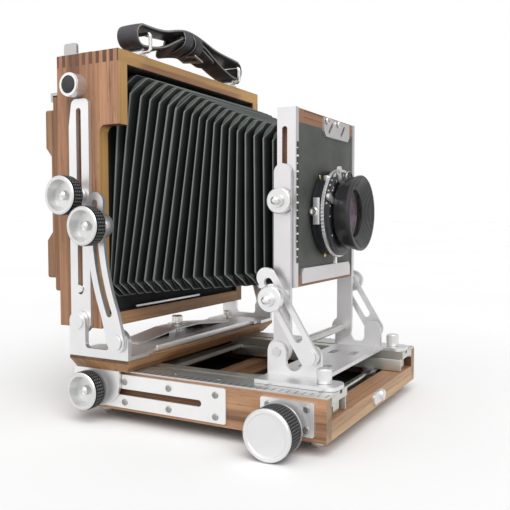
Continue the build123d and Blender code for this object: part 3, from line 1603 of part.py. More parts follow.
# Lugs for the carrying strap on top of the frame
with BuildPart() as handle_lugs:
    with BuildSketch(Plane.XZ.offset(-lug_y - lug_length / 2)):
        with Locations((handle_x + lug_x, hinge_z)):
            Circle(lug_radius)
        with Locations((handle_x + lug_x, frame_top)):
            Rectangle(2 * lug_radius, lug_height, align=(Align.CENTER, Align.MIN))
            Rectangle(lug_base, lug_base_thickness, align=(Align.CENTER, Align.MIN))
        with Locations((handle_x + lug_x, hinge_z)):
            Circle(loop_wire + turn_gap, mode=Mode.SUBTRACT)
    extrude(amount=lug_length)
    mirror(about=Plane.YZ.offset(handle_x))
handle_lugs.part.label = "handle_lugs"
export_step(handle_lugs.part, "parts/handle_lugs.step")

# Rectangular wire loops that turn in the lugs
for name, side in sides.items():
    loop_plane = across(handle_x + side * lug_x, lug_y, hinge_z + loop_height / 2)
    with BuildPart() as handle_loop:
        with BuildLine(loop_plane) as loop_path:
            corner_x = loop_width / 2
            corner_y = loop_height / 2
            FilletPolyline(
                (corner_x, -corner_y),
                (corner_x, corner_y),
                (-corner_x, corner_y),
                (-corner_x, -corner_y),
                radius=2.0 * loop_wire,
                close=True,
            )
        wire = loop_path.wires()[0]
        with BuildSketch(Plane(origin=wire @ 0, z_dir=wire % 0)):
            Circle(loop_wire)
        sweep(path=wire)
    handle_loop.part.label = f"handle_loop_{name}"
    export_step(handle_loop.part, f"parts/handle_loop_{name}.step")

# Carrying strap: a doubled leather band round both loops, held together by two keepers
bend_x = lug_x + strap_slack
bend_z = hinge_z + loop_height - strap_drop
run = strap_bend + strap_thickness / 2
crest_z = bend_z + run + strap_rise
bends = [(handle_x - bend_x, bend_z), (handle_x + bend_x, bend_z)]
upper_run = ThreePointArc(
    (handle_x - bend_x, bend_z + run), (handle_x, crest_z), (handle_x + bend_x, bend_z + run)
)
lower_run = ThreePointArc(
    (handle_x - bend_x, bend_z - run), (handle_x, crest_z - strap_waist), (handle_x + bend_x, bend_z - run)
)
with BuildPart() as handle_strap:
    with BuildSketch(Plane.XZ.offset(-lug_y - strap_width / 2)):
        with Locations(bends):
            Circle(strap_bend + strap_thickness)
        with Locations(bends):
            Circle(strap_bend, mode=Mode.SUBTRACT)
        with BuildLine():
            add(upper_run)
            Line(upper_run @ 1, lower_run @ 1)
            add(lower_run)
            Line(lower_run @ 0, upper_run @ 0)
        make_face(mode=Mode.SUBTRACT)
        SlotArc(upper_run, strap_thickness)
        SlotArc(lower_run, strap_thickness)
        with Locations((keeper_x, crest_z - strap_waist / 2), (keeper_x + keeper_spacing, crest_z - strap_waist / 2)):
            RectangleRounded(keeper_width, strap_waist + 2 * strap_thickness, 1.0)
    extrude(amount=strap_width)
handle_strap.part.label = "handle_strap"
export_step(handle_strap.part, "parts/handle_strap.step")
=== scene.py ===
import math
import random

import bmesh
import bpy
from mathutils import Matrix, Vector


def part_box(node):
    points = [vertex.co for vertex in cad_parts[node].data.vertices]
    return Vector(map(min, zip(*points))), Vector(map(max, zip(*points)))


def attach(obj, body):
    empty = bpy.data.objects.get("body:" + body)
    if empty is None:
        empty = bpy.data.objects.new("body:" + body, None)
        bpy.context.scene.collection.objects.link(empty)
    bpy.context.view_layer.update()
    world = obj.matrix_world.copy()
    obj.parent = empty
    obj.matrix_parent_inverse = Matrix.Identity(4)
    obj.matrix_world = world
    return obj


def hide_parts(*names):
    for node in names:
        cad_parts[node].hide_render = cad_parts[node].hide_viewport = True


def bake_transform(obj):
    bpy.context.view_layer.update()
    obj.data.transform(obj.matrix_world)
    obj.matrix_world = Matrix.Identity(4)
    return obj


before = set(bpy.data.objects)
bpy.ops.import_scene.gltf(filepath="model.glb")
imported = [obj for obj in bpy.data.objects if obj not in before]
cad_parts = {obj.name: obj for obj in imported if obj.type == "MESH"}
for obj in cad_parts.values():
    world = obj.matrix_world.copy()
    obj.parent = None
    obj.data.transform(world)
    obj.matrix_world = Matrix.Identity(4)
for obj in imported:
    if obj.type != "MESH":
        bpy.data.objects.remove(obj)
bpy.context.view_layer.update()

# Dresses the wooden field camera: its wood, metal, cloth, leather and glass, and the small
# pieces that the solids leave out. Places are written in millimetres, as in the part's source,
# and mm() turns them into metres. X runs from left to right, Y from front to rear and Z up.

MM = 0.001
SIDES = {"left": -1, "right": 1}
UP, DOWN, FORWARD, REARWARD = (0, 0, 1), (0, 0, -1), (0, -1, 0), (0, 1, 0)
X_AXIS, Y_AXIS, Z_AXIS = 0, 1, 2
FEET_LOW = -9.2
HANDLE_X, LUG_REACH = -7.0, 61
dice = random.Random(7)
finishes = {}


def mm(*values):
    """Millimetres to metres."""
    return Vector(values) * MM


def middle_of(node):
    """The middle of a solid's box, in millimetres."""
    low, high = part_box(node)
    return [(a + b) / 2 / MM for a, b in zip(low, high)]


LENS_X, _, LENS_Z = middle_of("lens_barrels")
LENS = (LENS_X, 0, LENS_Z)


# ---------------------------------------------------------------- shader sums

# Added to angles round the lens, so that none is below zero
TURN_SHIFT = 7.0


class Socket:
    """A shader socket that takes part in Python sums, each of which adds a Math node."""

    def __init__(self, nodes, socket):
        self.nodes = nodes
        self.socket = socket

    def sum(self, operation, first, second=None):
        values = [first] if second is None else [first, second]
        settings = {"operation": operation}
        return self.nodes.node("ShaderNodeMath", settings, dict(enumerate(values)))

    def __add__(self, other):
        return self.sum("ADD", self, other)

    def __radd__(self, other):
        return self.sum("ADD", other, self)

    def __sub__(self, other):
        return self.sum("SUBTRACT", self, other)

    def __rsub__(self, other):
        return self.sum("SUBTRACT", other, self)

    def __neg__(self):
        return self.sum("MULTIPLY", self, -1.0)

    def __mul__(self, other):
        return self.sum("MULTIPLY", self, other)

    def __rmul__(self, other):
        return self.sum("MULTIPLY", other, self)

    def __mod__(self, other):
        return self.sum("FLOORED_MODULO", self, other)

    def __gt__(self, other):
        return self.sum("GREATER_THAN", self, other)

    def __lt__(self, other):
        return self.sum("LESS_THAN", self, other)

    def __abs__(self):
        return self.sum("ABSOLUTE", self)

    def most(self, other):
        return self.sum("MAXIMUM", self, other)


class Nodes:
    """A tree of shader nodes, of a material or of the world."""

    def __init__(self, tree):
        self.tree = tree

    def node(self, kind, settings=None, inputs=None, output=0):
        """Adds a node of a kind, sets it, fills or links its sockets, and returns one output."""
        node = self.tree.nodes.new(kind)
        for key, value in (settings or {}).items():
            if key == "stops":
                ramp = node.color_ramp.elements
                while len(ramp) < len(value):
                    ramp.new(0.5)
                for element, (place, colour) in zip(ramp, value):
                    element.position = place
                    element.color = colour
            else:
                setattr(node, key, value)
        for key, value in (inputs or {}).items():
            if isinstance(value, Socket):
                self.tree.links.new(value.socket, node.inputs[key])
            else:
                node.inputs[key].default_value = value
        return Socket(self, node.outputs[output])


class Finish(Nodes):
    """One material: a Principled shader, with constants on its sockets and patterns fed to it."""

    def __init__(self, name, **constants):
        self.material = bpy.data.materials.new(name)
        self.material.use_nodes = True
        super().__init__(self.material.node_tree)
        self.shader = self.tree.nodes["Principled BSDF"]
        self.coordinates = self.node("ShaderNodeTexCoord").socket.node.outputs
        for socket, value in constants.items():
            self.shader.inputs[socket.replace("_", " ")].default_value = value
        finishes[name] = self.material

    @property
    def place(self):
        """Object coordinates, in metres in the part's own frame."""
        return Socket(self, self.coordinates["Object"])

    @property
    def facing(self):
        """The surface's own direction."""
        return Socket(self, self.coordinates["Normal"])

    def parts(self, vector):
        """The x, y and z of a vector."""
        split = self.node("ShaderNodeSeparateXYZ", None, {0: vector}).socket.node
        return [Socket(self, output) for output in split.outputs]

    def whole(self, x, y, z):
        """A vector from its x, y and z."""
        return self.node("ShaderNodeCombineXYZ", None, {0: x, 1: y, 2: z})

    def noise(self, vector, scale, detail=3.0, rough=0.5, twist=0.0):
        """Soft noise, by its waves to the metre."""
        sockets = {"Vector": vector, "Scale": scale, "Detail": detail}
        sockets |= {"Roughness": rough, "Distortion": twist}
        return self.node("ShaderNodeTexNoise", None, sockets)

    def drawn(self, vector, waves, detail=3.0, rough=0.5, twist=0.0):
        """Noise drawn out by its own number of waves along x, y and z."""
        stretched = self.node("ShaderNodeMapping", None, {"Vector": vector, "Scale": waves})
        return self.noise(stretched, 1.0, detail, rough, twist)

    def mix(self, share, first, second):
        """A colour between two, by a share."""
        sockets = {"Factor": share, 6: first, 7: second}
        return self.node("ShaderNodeMix", {"data_type": "RGBA"}, sockets, 2)

    def tint(self, colour, by):
        """A colour multiplied by another."""
        settings = {"data_type": "RGBA", "blend_type": "MULTIPLY"}
        return self.node("ShaderNodeMix", settings, {"Factor": 1.0, 6: colour, 7: by}, 2)

    def ramp(self, value, *stops):
        """A colour from stops of place and colour."""
        settings = {"stops": [(place, (*colour, 1)) for place, colour in stops]}
        return self.node("ShaderNodeValToRGB", settings, {0: value})

    def step(self, value, low, high, bottom=0.0, top=1.0):
        """A smooth step from bottom to top as the value goes from low to high."""
        sockets = {0: value, 1: low, 2: high, 3: bottom, 4: top}
        return self.node("ShaderNodeMapRange", {"interpolation_type": "SMOOTHSTEP"}, sockets)

    def marked(self, name):
        """The value that mark() gave to the points of a piece."""
        return self.node("ShaderNodeAttribute", {"attribute_name": name}, None, 2)

    def grained(self, scale, dark, pale):
        """A fine grain, and a plain colour that goes from dark to pale with it."""
        grain = self.noise(self.place, scale, 2.0)
        return grain, self.ramp(grain, (0.3, dark), (0.7, pale))

    def beside_lens(self):
        """How far a point lies across and up from the lens axis."""
        x, _, z = self.parts(self.place)
        return x - LENS_X * MM, z - LENS_Z * MM

    def away(self, across, up):
        """How far that is straight out from the axis."""
        sockets = {0: self.whole(across, 0.0, up)}
        return self.node("ShaderNodeVectorMath", {"operation": "LENGTH"}, sockets, 1)

    def divisions(self, across, up, pitch, wide):
        """Lines round the lens axis, by their pitch and width in radians."""
        turn = up.sum("ARCTAN2", up, across) + TURN_SHIFT
        return (turn % pitch) < wide

    def feed(self, socket, value):
        """Links a pattern to a socket of the shader."""
        self.tree.links.new(value.socket, self.shader.inputs[socket])

    def bump(self, height, strength, distance):
        """Fine relief, with its distance in millimetres."""
        sockets = {"Strength": strength, "Distance": distance * MM, "Height": height}
        self.feed("Normal", self.node("ShaderNodeBump", None, sockets))


# ---------------------------------------------------------------- finishes

# The rear frame's finger joints: where they start in height and depth, and a finger's width
FINGERS_ABOVE, FINGERS_FRONT, FINGER = 233, 51.2, 3
# The dark heart in the front edge of its top board, with the fading of its top and ends
HEART_ABOVE, HEART_MIDDLE = 231, -4
HEART_TOP, HEART_END = (237.6, 239.6), (72, 84)
# The height from which its front edge is pale, and the painted light on the front face of the
# bed's front rail
PALE_FROM = (70, 82)
RAIL_BEFORE, RAIL_FADE = -80, (-4, 9)
# How far a surface looks to the front before it counts as a front edge
FRONT_FACING = (0.6, 0.9)
# Shifts that keep upright and lengthwise boards from repeating the others' figure, in metres
UPRIGHT_SHIFT, LENGTHWISE_SHIFT = 0.31, 0.17
NONE_UPRIGHT = 500


def metres(limits):
    """A pair of limits in millimetres, as metres."""
    return [limit * MM for limit in limits]


def dimmed(colour, red, green, blue):
    """A colour with its parts cut down to shares."""
    return (colour[0] * red, colour[1] * green, colour[2] * blue, 1)


def walnut(name, upright_from, upright_axis, light, dark, joints=False, edge=None, rail_light=None):
    """Oiled walnut with its grain along X, or along upright_axis further out than upright_from."""
    wood = Finish(name, Specular_IOR_Level=0.42)
    x, y, z = wood.parts(wood.place)
    nx, ny, nz = wood.parts(wood.facing)
    upright = abs(x) > upright_from * MM
    if joints:
        corner = upright * (z > FINGERS_ABOVE * MM)
        finger = ((y - FINGERS_FRONT * MM) % (2 * FINGER * MM)) > FINGER * MM
        upright = upright * (1 - corner * finger)
    lying = wood.whole(x, y, z)
    if upright_axis == "Z":
        standing = wood.whole(z, y, x + UPRIGHT_SHIFT)
        end = abs(nz)
    else:
        standing = wood.whole(y, x + LENGTHWISE_SHIFT, z)
        end = abs(ny)
    sockets = {"Factor": upright, 4: lying, 5: standing}
    grain = wood.node("ShaderNodeMix", {"data_type": "VECTOR"}, sockets, 1)
    end_grain = wood.step(upright * end + (1 - upright) * abs(nx), 0.8, 0.95)
    boards = wood.drawn(grain, (2.0, 26, 26), 3.0, 0.5, 0.6)
    bands = wood.drawn(grain, (4, 90, 90), 4.0, 0.55, 1.1)
    rings = wood.drawn(grain, (9, 420, 420), 3.0, 0.5, 0.4)
    pores = wood.drawn(grain, (90, 2400, 2400), 2.0, 0.6)
    streaks = wood.drawn(grain, (2.5, 150, 150), 2.0, 0.5, 1.6)
    middle = tuple((a + b) / 2 for a, b in zip(light, dark))
    figure = boards * 0.40 + bands * 0.36 + rings * 0.24
    colour = wood.ramp(figure, (0.36, dark), (0.49, middle), (0.62, light))
    streak = wood.step(streaks, 0.56, 0.70, 0.0, 0.62)
    colour = wood.mix(streak, colour, dimmed(dark, 0.55, 0.5, 0.5))
    pore = wood.step(pores, 0.58, 0.72, 0.0, 0.55)
    colour = wood.mix(pore, colour, dimmed(dark, 0.4, 0.36, 0.36))
    colour = wood.mix(end_grain * 0.78, colour, dimmed(dark, 0.45, 0.38, 0.36))
    if edge:
        front = wood.step(-ny, *FRONT_FACING) * wood.step(bands, 0.3, 0.7, 0.35, 0.85)
        bough = wood.drawn(wood.place, (26, 26, 60), 2.0, 0.5)
        heart = wood.step(z + bough * 4.5 * MM, *metres(HEART_TOP), 1.0, 0.0)
        heart = heart * (z > HEART_ABOVE * MM)
        from_middle = abs(x - HEART_MIDDLE * MM) + bough * 14 * MM
        heart = heart * wood.step(from_middle, *metres(HEART_END), 1.0, 0.0)
        low = wood.step(z, *metres(PALE_FROM), 0.35, 1.0)
        colour = wood.mix(front * low * (1 - heart * 0.9), colour, (*edge, 1))
    # Painted light: the front face of the bed's front rail is paler, most of all low down
    if rail_light:
        front = wood.step(-ny, *FRONT_FACING) * (y < RAIL_BEFORE * MM)
        front = front * wood.step(bands, 0.3, 0.7, 0.5, 0.95)
        front = front * wood.step(z + rings * 3 * MM, *metres(RAIL_FADE), 0.9, 0.4)
        colour = wood.mix(front, colour, (*rail_light, 1))
    wood.feed("Base Color", colour)
    wood.feed("Roughness", 0.40 + rings * 0.14 + pore * 0.25)
    wood.bump(rings * 0.4 - pore, 0.25, 0.15)


def bead_blasted(name, colour, rough, ruled=None):
    """Fine blasted and clear anodised aluminium, ruled across where asked."""
    metal = Finish(name, Metallic=0.88)
    fine = metal.noise(metal.place, 3800, 2.0, 0.6)
    cloud = metal.noise(metal.place, 38, 3.0, 0.5)
    dull = tuple(c * 0.93 for c in colour)
    shade = metal.ramp(cloud * 0.7 + fine * 0.3, (0.35, dull), (0.65, colour))
    wear_and_fold_light = metal.step(metal.drawn(metal.place, (700, 60, 700), 2.0), 0.68, 0.76)
    if ruled:
        x, y, z = metal.parts(metal.place)
        nx, ny, nz = metal.parts(metal.facing)
        line = ((y + ruled["from"] * MM) % (ruled["step"] * MM)) < ruled["line"] * MM
        reach = (abs(x) > ruled["inner"] * MM) * (abs(x) < ruled["outer"] * MM)
        shown = line * reach * (nz > 0.9) * (z > ruled["above"] * MM)
        shade = metal.mix(shown, shade, (0.035, 0.035, 0.04, 1))
    metal.feed("Base Color", shade)
    metal.feed("Roughness", rough + fine * 0.12 - wear_and_fold_light * 0.08)
    metal.bump(fine, 0.12, 0.02)


def drawn_metal(name, colour, rough, axis):
    """Drawn or turned metal with fine strokes along an axis."""
    metal = Finish(name, Metallic=1.0)
    strokes = [60 if axis == i else 4000 for i in range(3)]
    line = metal.drawn(metal.place, strokes, 2.0, 0.5)
    cloud = metal.noise(metal.place, 55, 2.0)
    dull = tuple(c * 0.9 for c in colour)
    metal.feed("Base Color", metal.ramp(cloud, (0.35, dull), (0.65, colour)))
    metal.feed("Roughness", rough + line * 0.14)
    metal.bump(line, 0.08, 0.02)


def black_finish(name, colour, worn_and_lit_tone, rough, scale, depth, strength):
    """Black paint, anodising, felt or board with a fine grain of its own."""
    black = Finish(name, Specular_IOR_Level=0.45)
    grain = black.noise(black.place, scale, 3.0, 0.6)
    cloud = black.noise(black.place, 45, 3.0, 0.5)
    shade = black.ramp(cloud * 0.6 + grain * 0.4, (0.38, colour), (0.66, worn_and_lit_tone))
    black.feed("Base Color", shade)
    black.feed("Roughness", rough + grain * 0.16)
    black.bump(grain, strength, depth)


def knurled_black():
    """Black knurling, with a painted highlight on its points and painted shade in its grooves."""
    knurl = Finish("black_knurl", Specular_IOR_Level=0.3)
    fine = knurl.noise(knurl.place, 2600, 2.0)
    point = knurl.step(knurl.marked("raised") + fine * 0.2 - 0.1, 0.18, 0.60)
    # Painted shade in the grooves, and a painted highlight on the raised points
    groove_shade, tip = (0.002, 0.002, 0.003, 1), (0.160, 0.164, 0.166, 1)
    knurl.feed("Base Color", knurl.mix(point, groove_shade, tip))
    knurl.feed("Roughness", 0.55 + fine * 0.2)


def pleated_cloth():
    """Black bellows cloth, with painted shade deep in its folds, painted light on its upward
    slopes and top, and a painted highlight along each outer fold.
    """
    cloth = Finish("bellows_cloth", Specular_IOR_Level=0.16)
    nx, ny, nz = cloth.parts(cloth.facing)
    fold = cloth.marked("fold")
    weave = cloth.drawn(cloth.place, (2600, 900, 2600), 2.0, 0.6)
    cloud = cloth.noise(cloth.place, 70, 3.0, 0.55)
    # Painted shade in the valleys, a mid tone on the flats and a painted highlight near each ridge
    valley_shade, flat, worn_and_lit_tone = (0.0022, 0.0023, 0.0028), (0.0105, 0.0115, 0.0112), (0.042, 0.047, 0.045)
    plain = cloth.ramp(fold + cloud * 0.20 - 0.10, (0.25, valley_shade), (0.62, flat), (0.94, worn_and_lit_tone))
    # Painted light on faces that slope upwards
    slope_light = cloth.step(nz, 0.18, 0.70) * cloth.step(fold, 0.36, 0.60, 0.0, 0.9)
    plain = cloth.mix(slope_light, plain, (0.090, 0.104, 0.092, 1))
    # More painted light on the top
    top = cloth.step(nz, 0.80, 0.96) * cloth.step(fold, 0.30, 0.60, 0.2, 0.9)
    plain = cloth.mix(top, plain, (0.17, 0.19, 0.17, 1))
    # Painted highlight along each outer fold
    ridge_highlight = cloth.step(fold + cloud * 0.06 - 0.03, 0.88, 0.97, 0.0, 0.95)
    cloth.feed("Base Color", cloth.mix(ridge_highlight, plain, (0.20, 0.225, 0.215, 1)))
    cloth.feed("Roughness", 0.6 + weave * 0.25 - ridge_highlight * 0.1)
    cloth.bump(weave, 0.35, 0.05)


def strap_hide():
    """Soft black leather with a fine grain, paler on its cut edges."""
    hide = Finish("strap_hide", Specular_IOR_Level=0.45)
    sockets = {"Vector": hide.place, "Scale": 1500.0}
    cells = hide.node("ShaderNodeTexVoronoi", {"feature": "DISTANCE_TO_EDGE"}, sockets)
    crease = hide.drawn(hide.place, (90, 30, 90), 3.0)
    grain = hide.step(cells, 0.0, 0.12)
    base = hide.ramp(crease, (0.35, (0.016, 0.015, 0.018)), (0.68, (0.050, 0.046, 0.053)))
    cut = hide.step(hide.marked("edge"), 0.25, 0.70, 0.0, 0.9)
    hide.feed("Base Color", hide.mix(cut, base, (0.250, 0.252, 0.225, 1)))
    hide.feed("Roughness", 0.36 + crease * 0.2)
    hide.bump(grain * 0.5 + crease * 0.6, 0.3, 0.12)


def coated_glass():
    """Coated front and rear elements: clear, with a violet bloom."""
    constants = {"Roughness": 0.0, "IOR": 1.2, "Transmission_Weight": 1.0, "Coat_Roughness": 0.02}
    glass = Finish("coated_glass", **constants)
    rim = glass.step(glass.away(*glass.beside_lens()), 9 * MM, 17 * MM)
    glass.feed("Base Color", glass.mix(rim, (0.55, 0.36, 0.58, 1), (0.92, 0.58, 0.50, 1)))
    glass.feed("Coat Weight", rim * 0.3)


def ground_screen():
    """Ground glass with a fine tooth and faint ruled lines each centimetre."""
    screen = Finish("ground_screen", Transmission_Weight=0.35, IOR=1.5, Specular_IOR_Level=0.4)
    x, y, z = screen.parts(screen.place)
    tooth = screen.noise(screen.place, 5200, 2.0, 0.6)
    pitch, wide = 0.010, 0.0004
    upright_line = ((x + 0.2002) % pitch) < wide
    level_line = ((z - 0.1468) % pitch) < wide
    line = screen.step(upright_line.most(level_line), 0.2, 0.8)
    plain = screen.ramp(tooth, (0.3, (0.50, 0.53, 0.52)), (0.7, (0.62, 0.65, 0.64)))
    screen.feed("Base Color", screen.mix(line, plain, (0.08, 0.08, 0.08, 1)))
    screen.feed("Roughness", 0.45 + tooth * 0.2)
    screen.bump(tooth, 0.3, 0.02)


def dial_face():
    """Black shutter face with fine white divisions round its upper part."""
    dial = Finish("dial_face", Specular_IOR_Level=0.45)
    across, up = dial.beside_lens()
    away = dial.away(across, up)
    tick = dial.divisions(across, up, math.pi / 12, 0.030)
    shown = tick * (up > -8 * MM) * (away > 25.4 * MM) * (away < 27.2 * MM)
    fine, plain = dial.grained(2600, (0.018, 0.019, 0.022), (0.032, 0.033, 0.038))
    dial.feed("Base Color", dial.mix(shown, plain, (0.72, 0.72, 0.70, 1)))
    dial.feed("Roughness", 0.32 + fine * 0.12)


def ring_scale():
    """Black ring with white divisions along the upper left of its outside."""
    ring = Finish("ring_scale", Specular_IOR_Level=0.45)
    x, y, z = ring.parts(ring.place)
    across, up = ring.beside_lens()
    tick = ring.divisions(across, up, math.pi / 20, 0.045)
    shown = tick * (y < -68.4 * MM) * (up > 5 * MM) * (across < 6 * MM)
    fine, plain = ring.grained(2600, (0.016, 0.017, 0.020), (0.030, 0.031, 0.036))
    ring.feed("Base Color", ring.mix(shown, plain, (0.50, 0.50, 0.48, 1)))
    ring.feed("Roughness", 0.34 + fine * 0.12)


def tipped_lever():
    """Black ring with a bright tab that stands out from the shutter."""
    lever = Finish("tipped_lever", Specular_IOR_Level=0.45)
    tab = lever.step(lever.away(*lever.beside_lens()), 29.9 * MM, 30.2 * MM)
    fine, plain = lever.grained(2600, (0.010, 0.010, 0.012), (0.020, 0.021, 0.023))
    lever.feed("Base Color", lever.mix(tab, plain, (0.82, 0.81, 0.78, 1)))
    lever.feed("Metallic", tab)
    lever.feed("Roughness", 0.22 + fine * 0.1)


def printed_scale():
    """Black strip with white divisions, a long one each centimetre."""
    strip = Finish("rise_scale", Specular_IOR_Level=0.4)
    x, y, z = strip.parts(strip.place)
    long = ((z + 0.0006) % 0.010) < 0.0012
    short = (((z + 0.0003) % 0.005) < 0.0007) * (x < -50.4 * MM)
    fine, plain = strip.grained(2400, (0.020, 0.020, 0.021), (0.034, 0.034, 0.035))
    strip.feed("Base Color", strip.mix(long.most(short), plain, (0.75, 0.75, 0.73, 1)))
    strip.feed("Roughness", 0.40 + fine * 0.15)


def lens_painted_reflections():
    """The dark inside of the lens as painted shade, with painted violet and amber reflections of
    its coatings in rings.
    """
    bloom = Finish("lens_painted_reflections", Specular_IOR_Level=0.06)
    # Painted shade in the middle and at the rim, painted violet and amber reflections between
    core, dark = (0.006, 0.005, 0.010), (0.010, 0.007, 0.014)
    violet, amber = (0.230, 0.035, 0.150), (0.720, 0.300, 0.230)
    stops = (0.0, core), (0.42, dark), (0.62, violet), (0.82, amber), (1.0, dark)
    share = bloom.step(bloom.away(*bloom.beside_lens()), 0.0, 14.5 * MM)
    cloud, shade = bloom.grained(120, (0.8, 0.8, 0.8), (1.0, 1.0, 1.0))
    bloom.feed("Base Color", bloom.tint(bloom.ramp(share, *stops), shade))
    bloom.feed("Roughness", 0.4 + cloud * 0.1)


# Sapwood for front edges, and painted light for the front face of the bed's front rail
SAPWOOD, RAIL_FACE_LIGHT = (0.56, 0.335, 0.115), (0.64, 0.46, 0.255)
walnut("rear_walnut", 87, "Z", (0.52, 0.275, 0.150), (0.150, 0.062, 0.030), True, SAPWOOD)
walnut("bed_walnut", 84, "Y", (0.55, 0.305, 0.165), (0.160, 0.073, 0.036), rail_light=RAIL_FACE_LIGHT)
walnut("lens_walnut", 39, "Z", (0.37, 0.185, 0.095), (0.115, 0.048, 0.024))
walnut("back_walnut", 64, "Z", (0.38, 0.20, 0.10), (0.13, 0.056, 0.028), edge=SAPWOOD)
walnut("carriage_walnut", NONE_UPRIGHT, "Y", (0.44, 0.235, 0.105), (0.135, 0.060, 0.027))

guide_lines = {"from": 200, "step": 5, "line": 0.55, "inner": 84.5, "outer": 91.5, "above": 26.5}
for look in (
    ("blasted_alloy", (0.79, 0.785, 0.79), 0.32),
    # A paler copy of the alloy for the side plates, cheeks and the rear base's edge, as painted
    # light
    ("plate_alloy", (0.87, 0.868, 0.865), 0.32),
    ("channel_alloy", (0.69, 0.675, 0.685), 0.32),
    # A darker copy of the alloy for the knobs, as painted shade
    ("cup_alloy", (0.71, 0.71, 0.705), 0.30),
    ("dull_alloy", (0.48, 0.475, 0.47), 0.34),
    ("track_alloy", (0.64, 0.645, 0.60), 0.32),
    ("ruled_alloy", (0.66, 0.66, 0.65), 0.36, guide_lines),
):
    bead_blasted(*look)

for look in (
    ("drawn_steel", (0.72, 0.71, 0.69), 0.22, X_AXIS),
    ("screw_steel", (0.40, 0.39, 0.37), 0.24, X_AXIS),
    ("plated_brass", (0.86, 0.84, 0.80), 0.08, Y_AXIS),
    ("gilt_brass", (0.62, 0.47, 0.20), 0.18, X_AXIS),
):
    drawn_metal(*look)

# Name, colour, worn colour, roughness, and the grain's waves to the metre, depth and strength
for look in (
    ("crackle_board", (0.048, 0.052, 0.047), (0.094, 0.100, 0.090), 0.46, 1500, 0.16, 0.5),
    ("black_panel", (0.012, 0.012, 0.013), (0.026, 0.026, 0.027), 0.42, 2600, 0.05, 0.35),
    ("black_anodised", (0.010, 0.010, 0.012), (0.020, 0.021, 0.023), 0.24, 3200, 0.03, 0.2),
    ("black_barrel", (0.012, 0.012, 0.013), (0.022, 0.022, 0.024), 0.12, 3200, 0.02, 0.1),
    # The hood's inner steps: black alloy painted a lighter grey, as painted light where they lie
    # in shade
    ("hood_grey", (0.100, 0.108, 0.105), (0.135, 0.145, 0.140), 0.36, 3000, 0.03, 0.2),
    ("black_felt", (0.008, 0.008, 0.009), (0.020, 0.020, 0.021), 0.82, 1500, 0.2, 0.35),
    ("satin_black", (0.016, 0.016, 0.018), (0.028, 0.028, 0.032), 0.18, 2400, 0.02, 0.1),
    ("black_enamel", (0.010, 0.010, 0.012), (0.018, 0.018, 0.020), 0.10, 900, 0.02, 0.05),
):
    black_finish(*look)

for maker in (
    tipped_lever, knurled_black, dial_face, ring_scale, printed_scale, lens_painted_reflections,
    pleated_cloth, strap_hide, coated_glass, ground_screen,
):
    maker()

# Which solids have which finish. All others are of blasted alloy.
node_finish = {
    "rear_walnut": ["rear_frame"],
    "bed_walnut": ["bed_frame"],
    "lens_walnut": ["lens_frame"],
    "back_walnut": ["back_panel", "focusing_frame"],
    "carriage_walnut": ["carriage_board"],
    "ruled_alloy": ["guide_rails"],
    "track_alloy": ["focus_track"],
    "dull_alloy": ["back_latches"],
    "plate_alloy": ["side_plates", "carriage_cheeks"],
    "channel_alloy": ["frame_channels", "front_posts", "board_clamp"],
    "cup_alloy": [
        f"{knob}_{side}"
        for knob in ("carriage_knob", "strut_knob", "arm_knob", "clamp_nut")
        for side in SIDES
    ],
    "drawn_steel": [
        "pinion_shaft", "tilt_rod", "clamp_bolts", "swing_pivot", "back_springs", "tripod_plate",
    ],
    "plated_brass": ["swing_lock", "shift_lock", "handle_loop_left", "handle_loop_right"],
    "crackle_board": ["lens_board"],
    "black_panel": ["bed_floor"],
    "black_anodised": ["shutter_body"],
    "black_barrel": ["lens_barrels"],
    "tipped_lever": ["aperture_lever"],
    "coated_glass": ["lens_elements"],
    "ground_screen": ["ground_glass"],
    "bellows_cloth": ["bellows"],
    "strap_hide": ["handle_strap"],
}
finish_of = {node: finish for finish, nodes in node_finish.items() for node in nodes}
for name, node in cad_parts.items():
    node.data.materials.clear()
    node.data.materials.append(finishes[finish_of.get(name, "blasted_alloy")])


# ---------------------------------------------------------------- bench tools

# Points closer than this are welded into one, in metres
WELD = 2e-6


def alone():
    """Leaves nothing selected, in object mode."""
    if bpy.context.mode != "OBJECT":
        bpy.ops.object.mode_set(mode="OBJECT")
    bpy.ops.object.select_all(action="DESELECT")


def hold(*pieces):
    """Selects these pieces alone."""
    alone()
    for piece in pieces:
        piece.select_set(True)
    bpy.context.view_layer.objects.active = pieces[0]


def edit(piece, kind="FACE"):
    """Opens one piece for editing."""
    hold(piece)
    bpy.ops.object.mode_set(mode="EDIT")
    bpy.ops.mesh.select_mode(type=kind)
    return bmesh.from_edit_mesh(piece.data)


def made():
    """The piece in hand, with its place, turn and size put into its mesh."""
    bpy.ops.object.transform_apply(location=True, rotation=True, scale=True)
    return bpy.context.object


def outward(piece, weld=False):
    """Turns a closed shape's faces outwards, with points that meet welded if asked."""
    edit(piece, "VERT")
    bpy.ops.mesh.select_all(action="SELECT")
    if weld:
        bpy.ops.mesh.remove_doubles(threshold=WELD)
    bpy.ops.mesh.normals_make_consistent(inside=False)
    alone()


def modify(piece, kind, **settings):
    """Adds a modifier and applies it."""
    hold(piece)
    modifier = piece.modifiers.new(kind, kind)
    for key, value in settings.items():
        setattr(modifier, key, value)
    bpy.ops.object.modifier_apply(modifier=modifier.name)


def thicken(piece, thick, offset=-1):
    """Gives a shell a thickness, to its inside unless said otherwise."""
    modify(piece, "SOLIDIFY", thickness=thick * MM, offset=offset)


def soften(piece, width, segments, sharp=30):
    """Rounds the edges that turn by more than sharp degrees."""
    limit = {"limit_method": "ANGLE", "angle_limit": math.radians(sharp)}
    modify(piece, "BEVEL", width=width * MM, segments=segments, **limit)


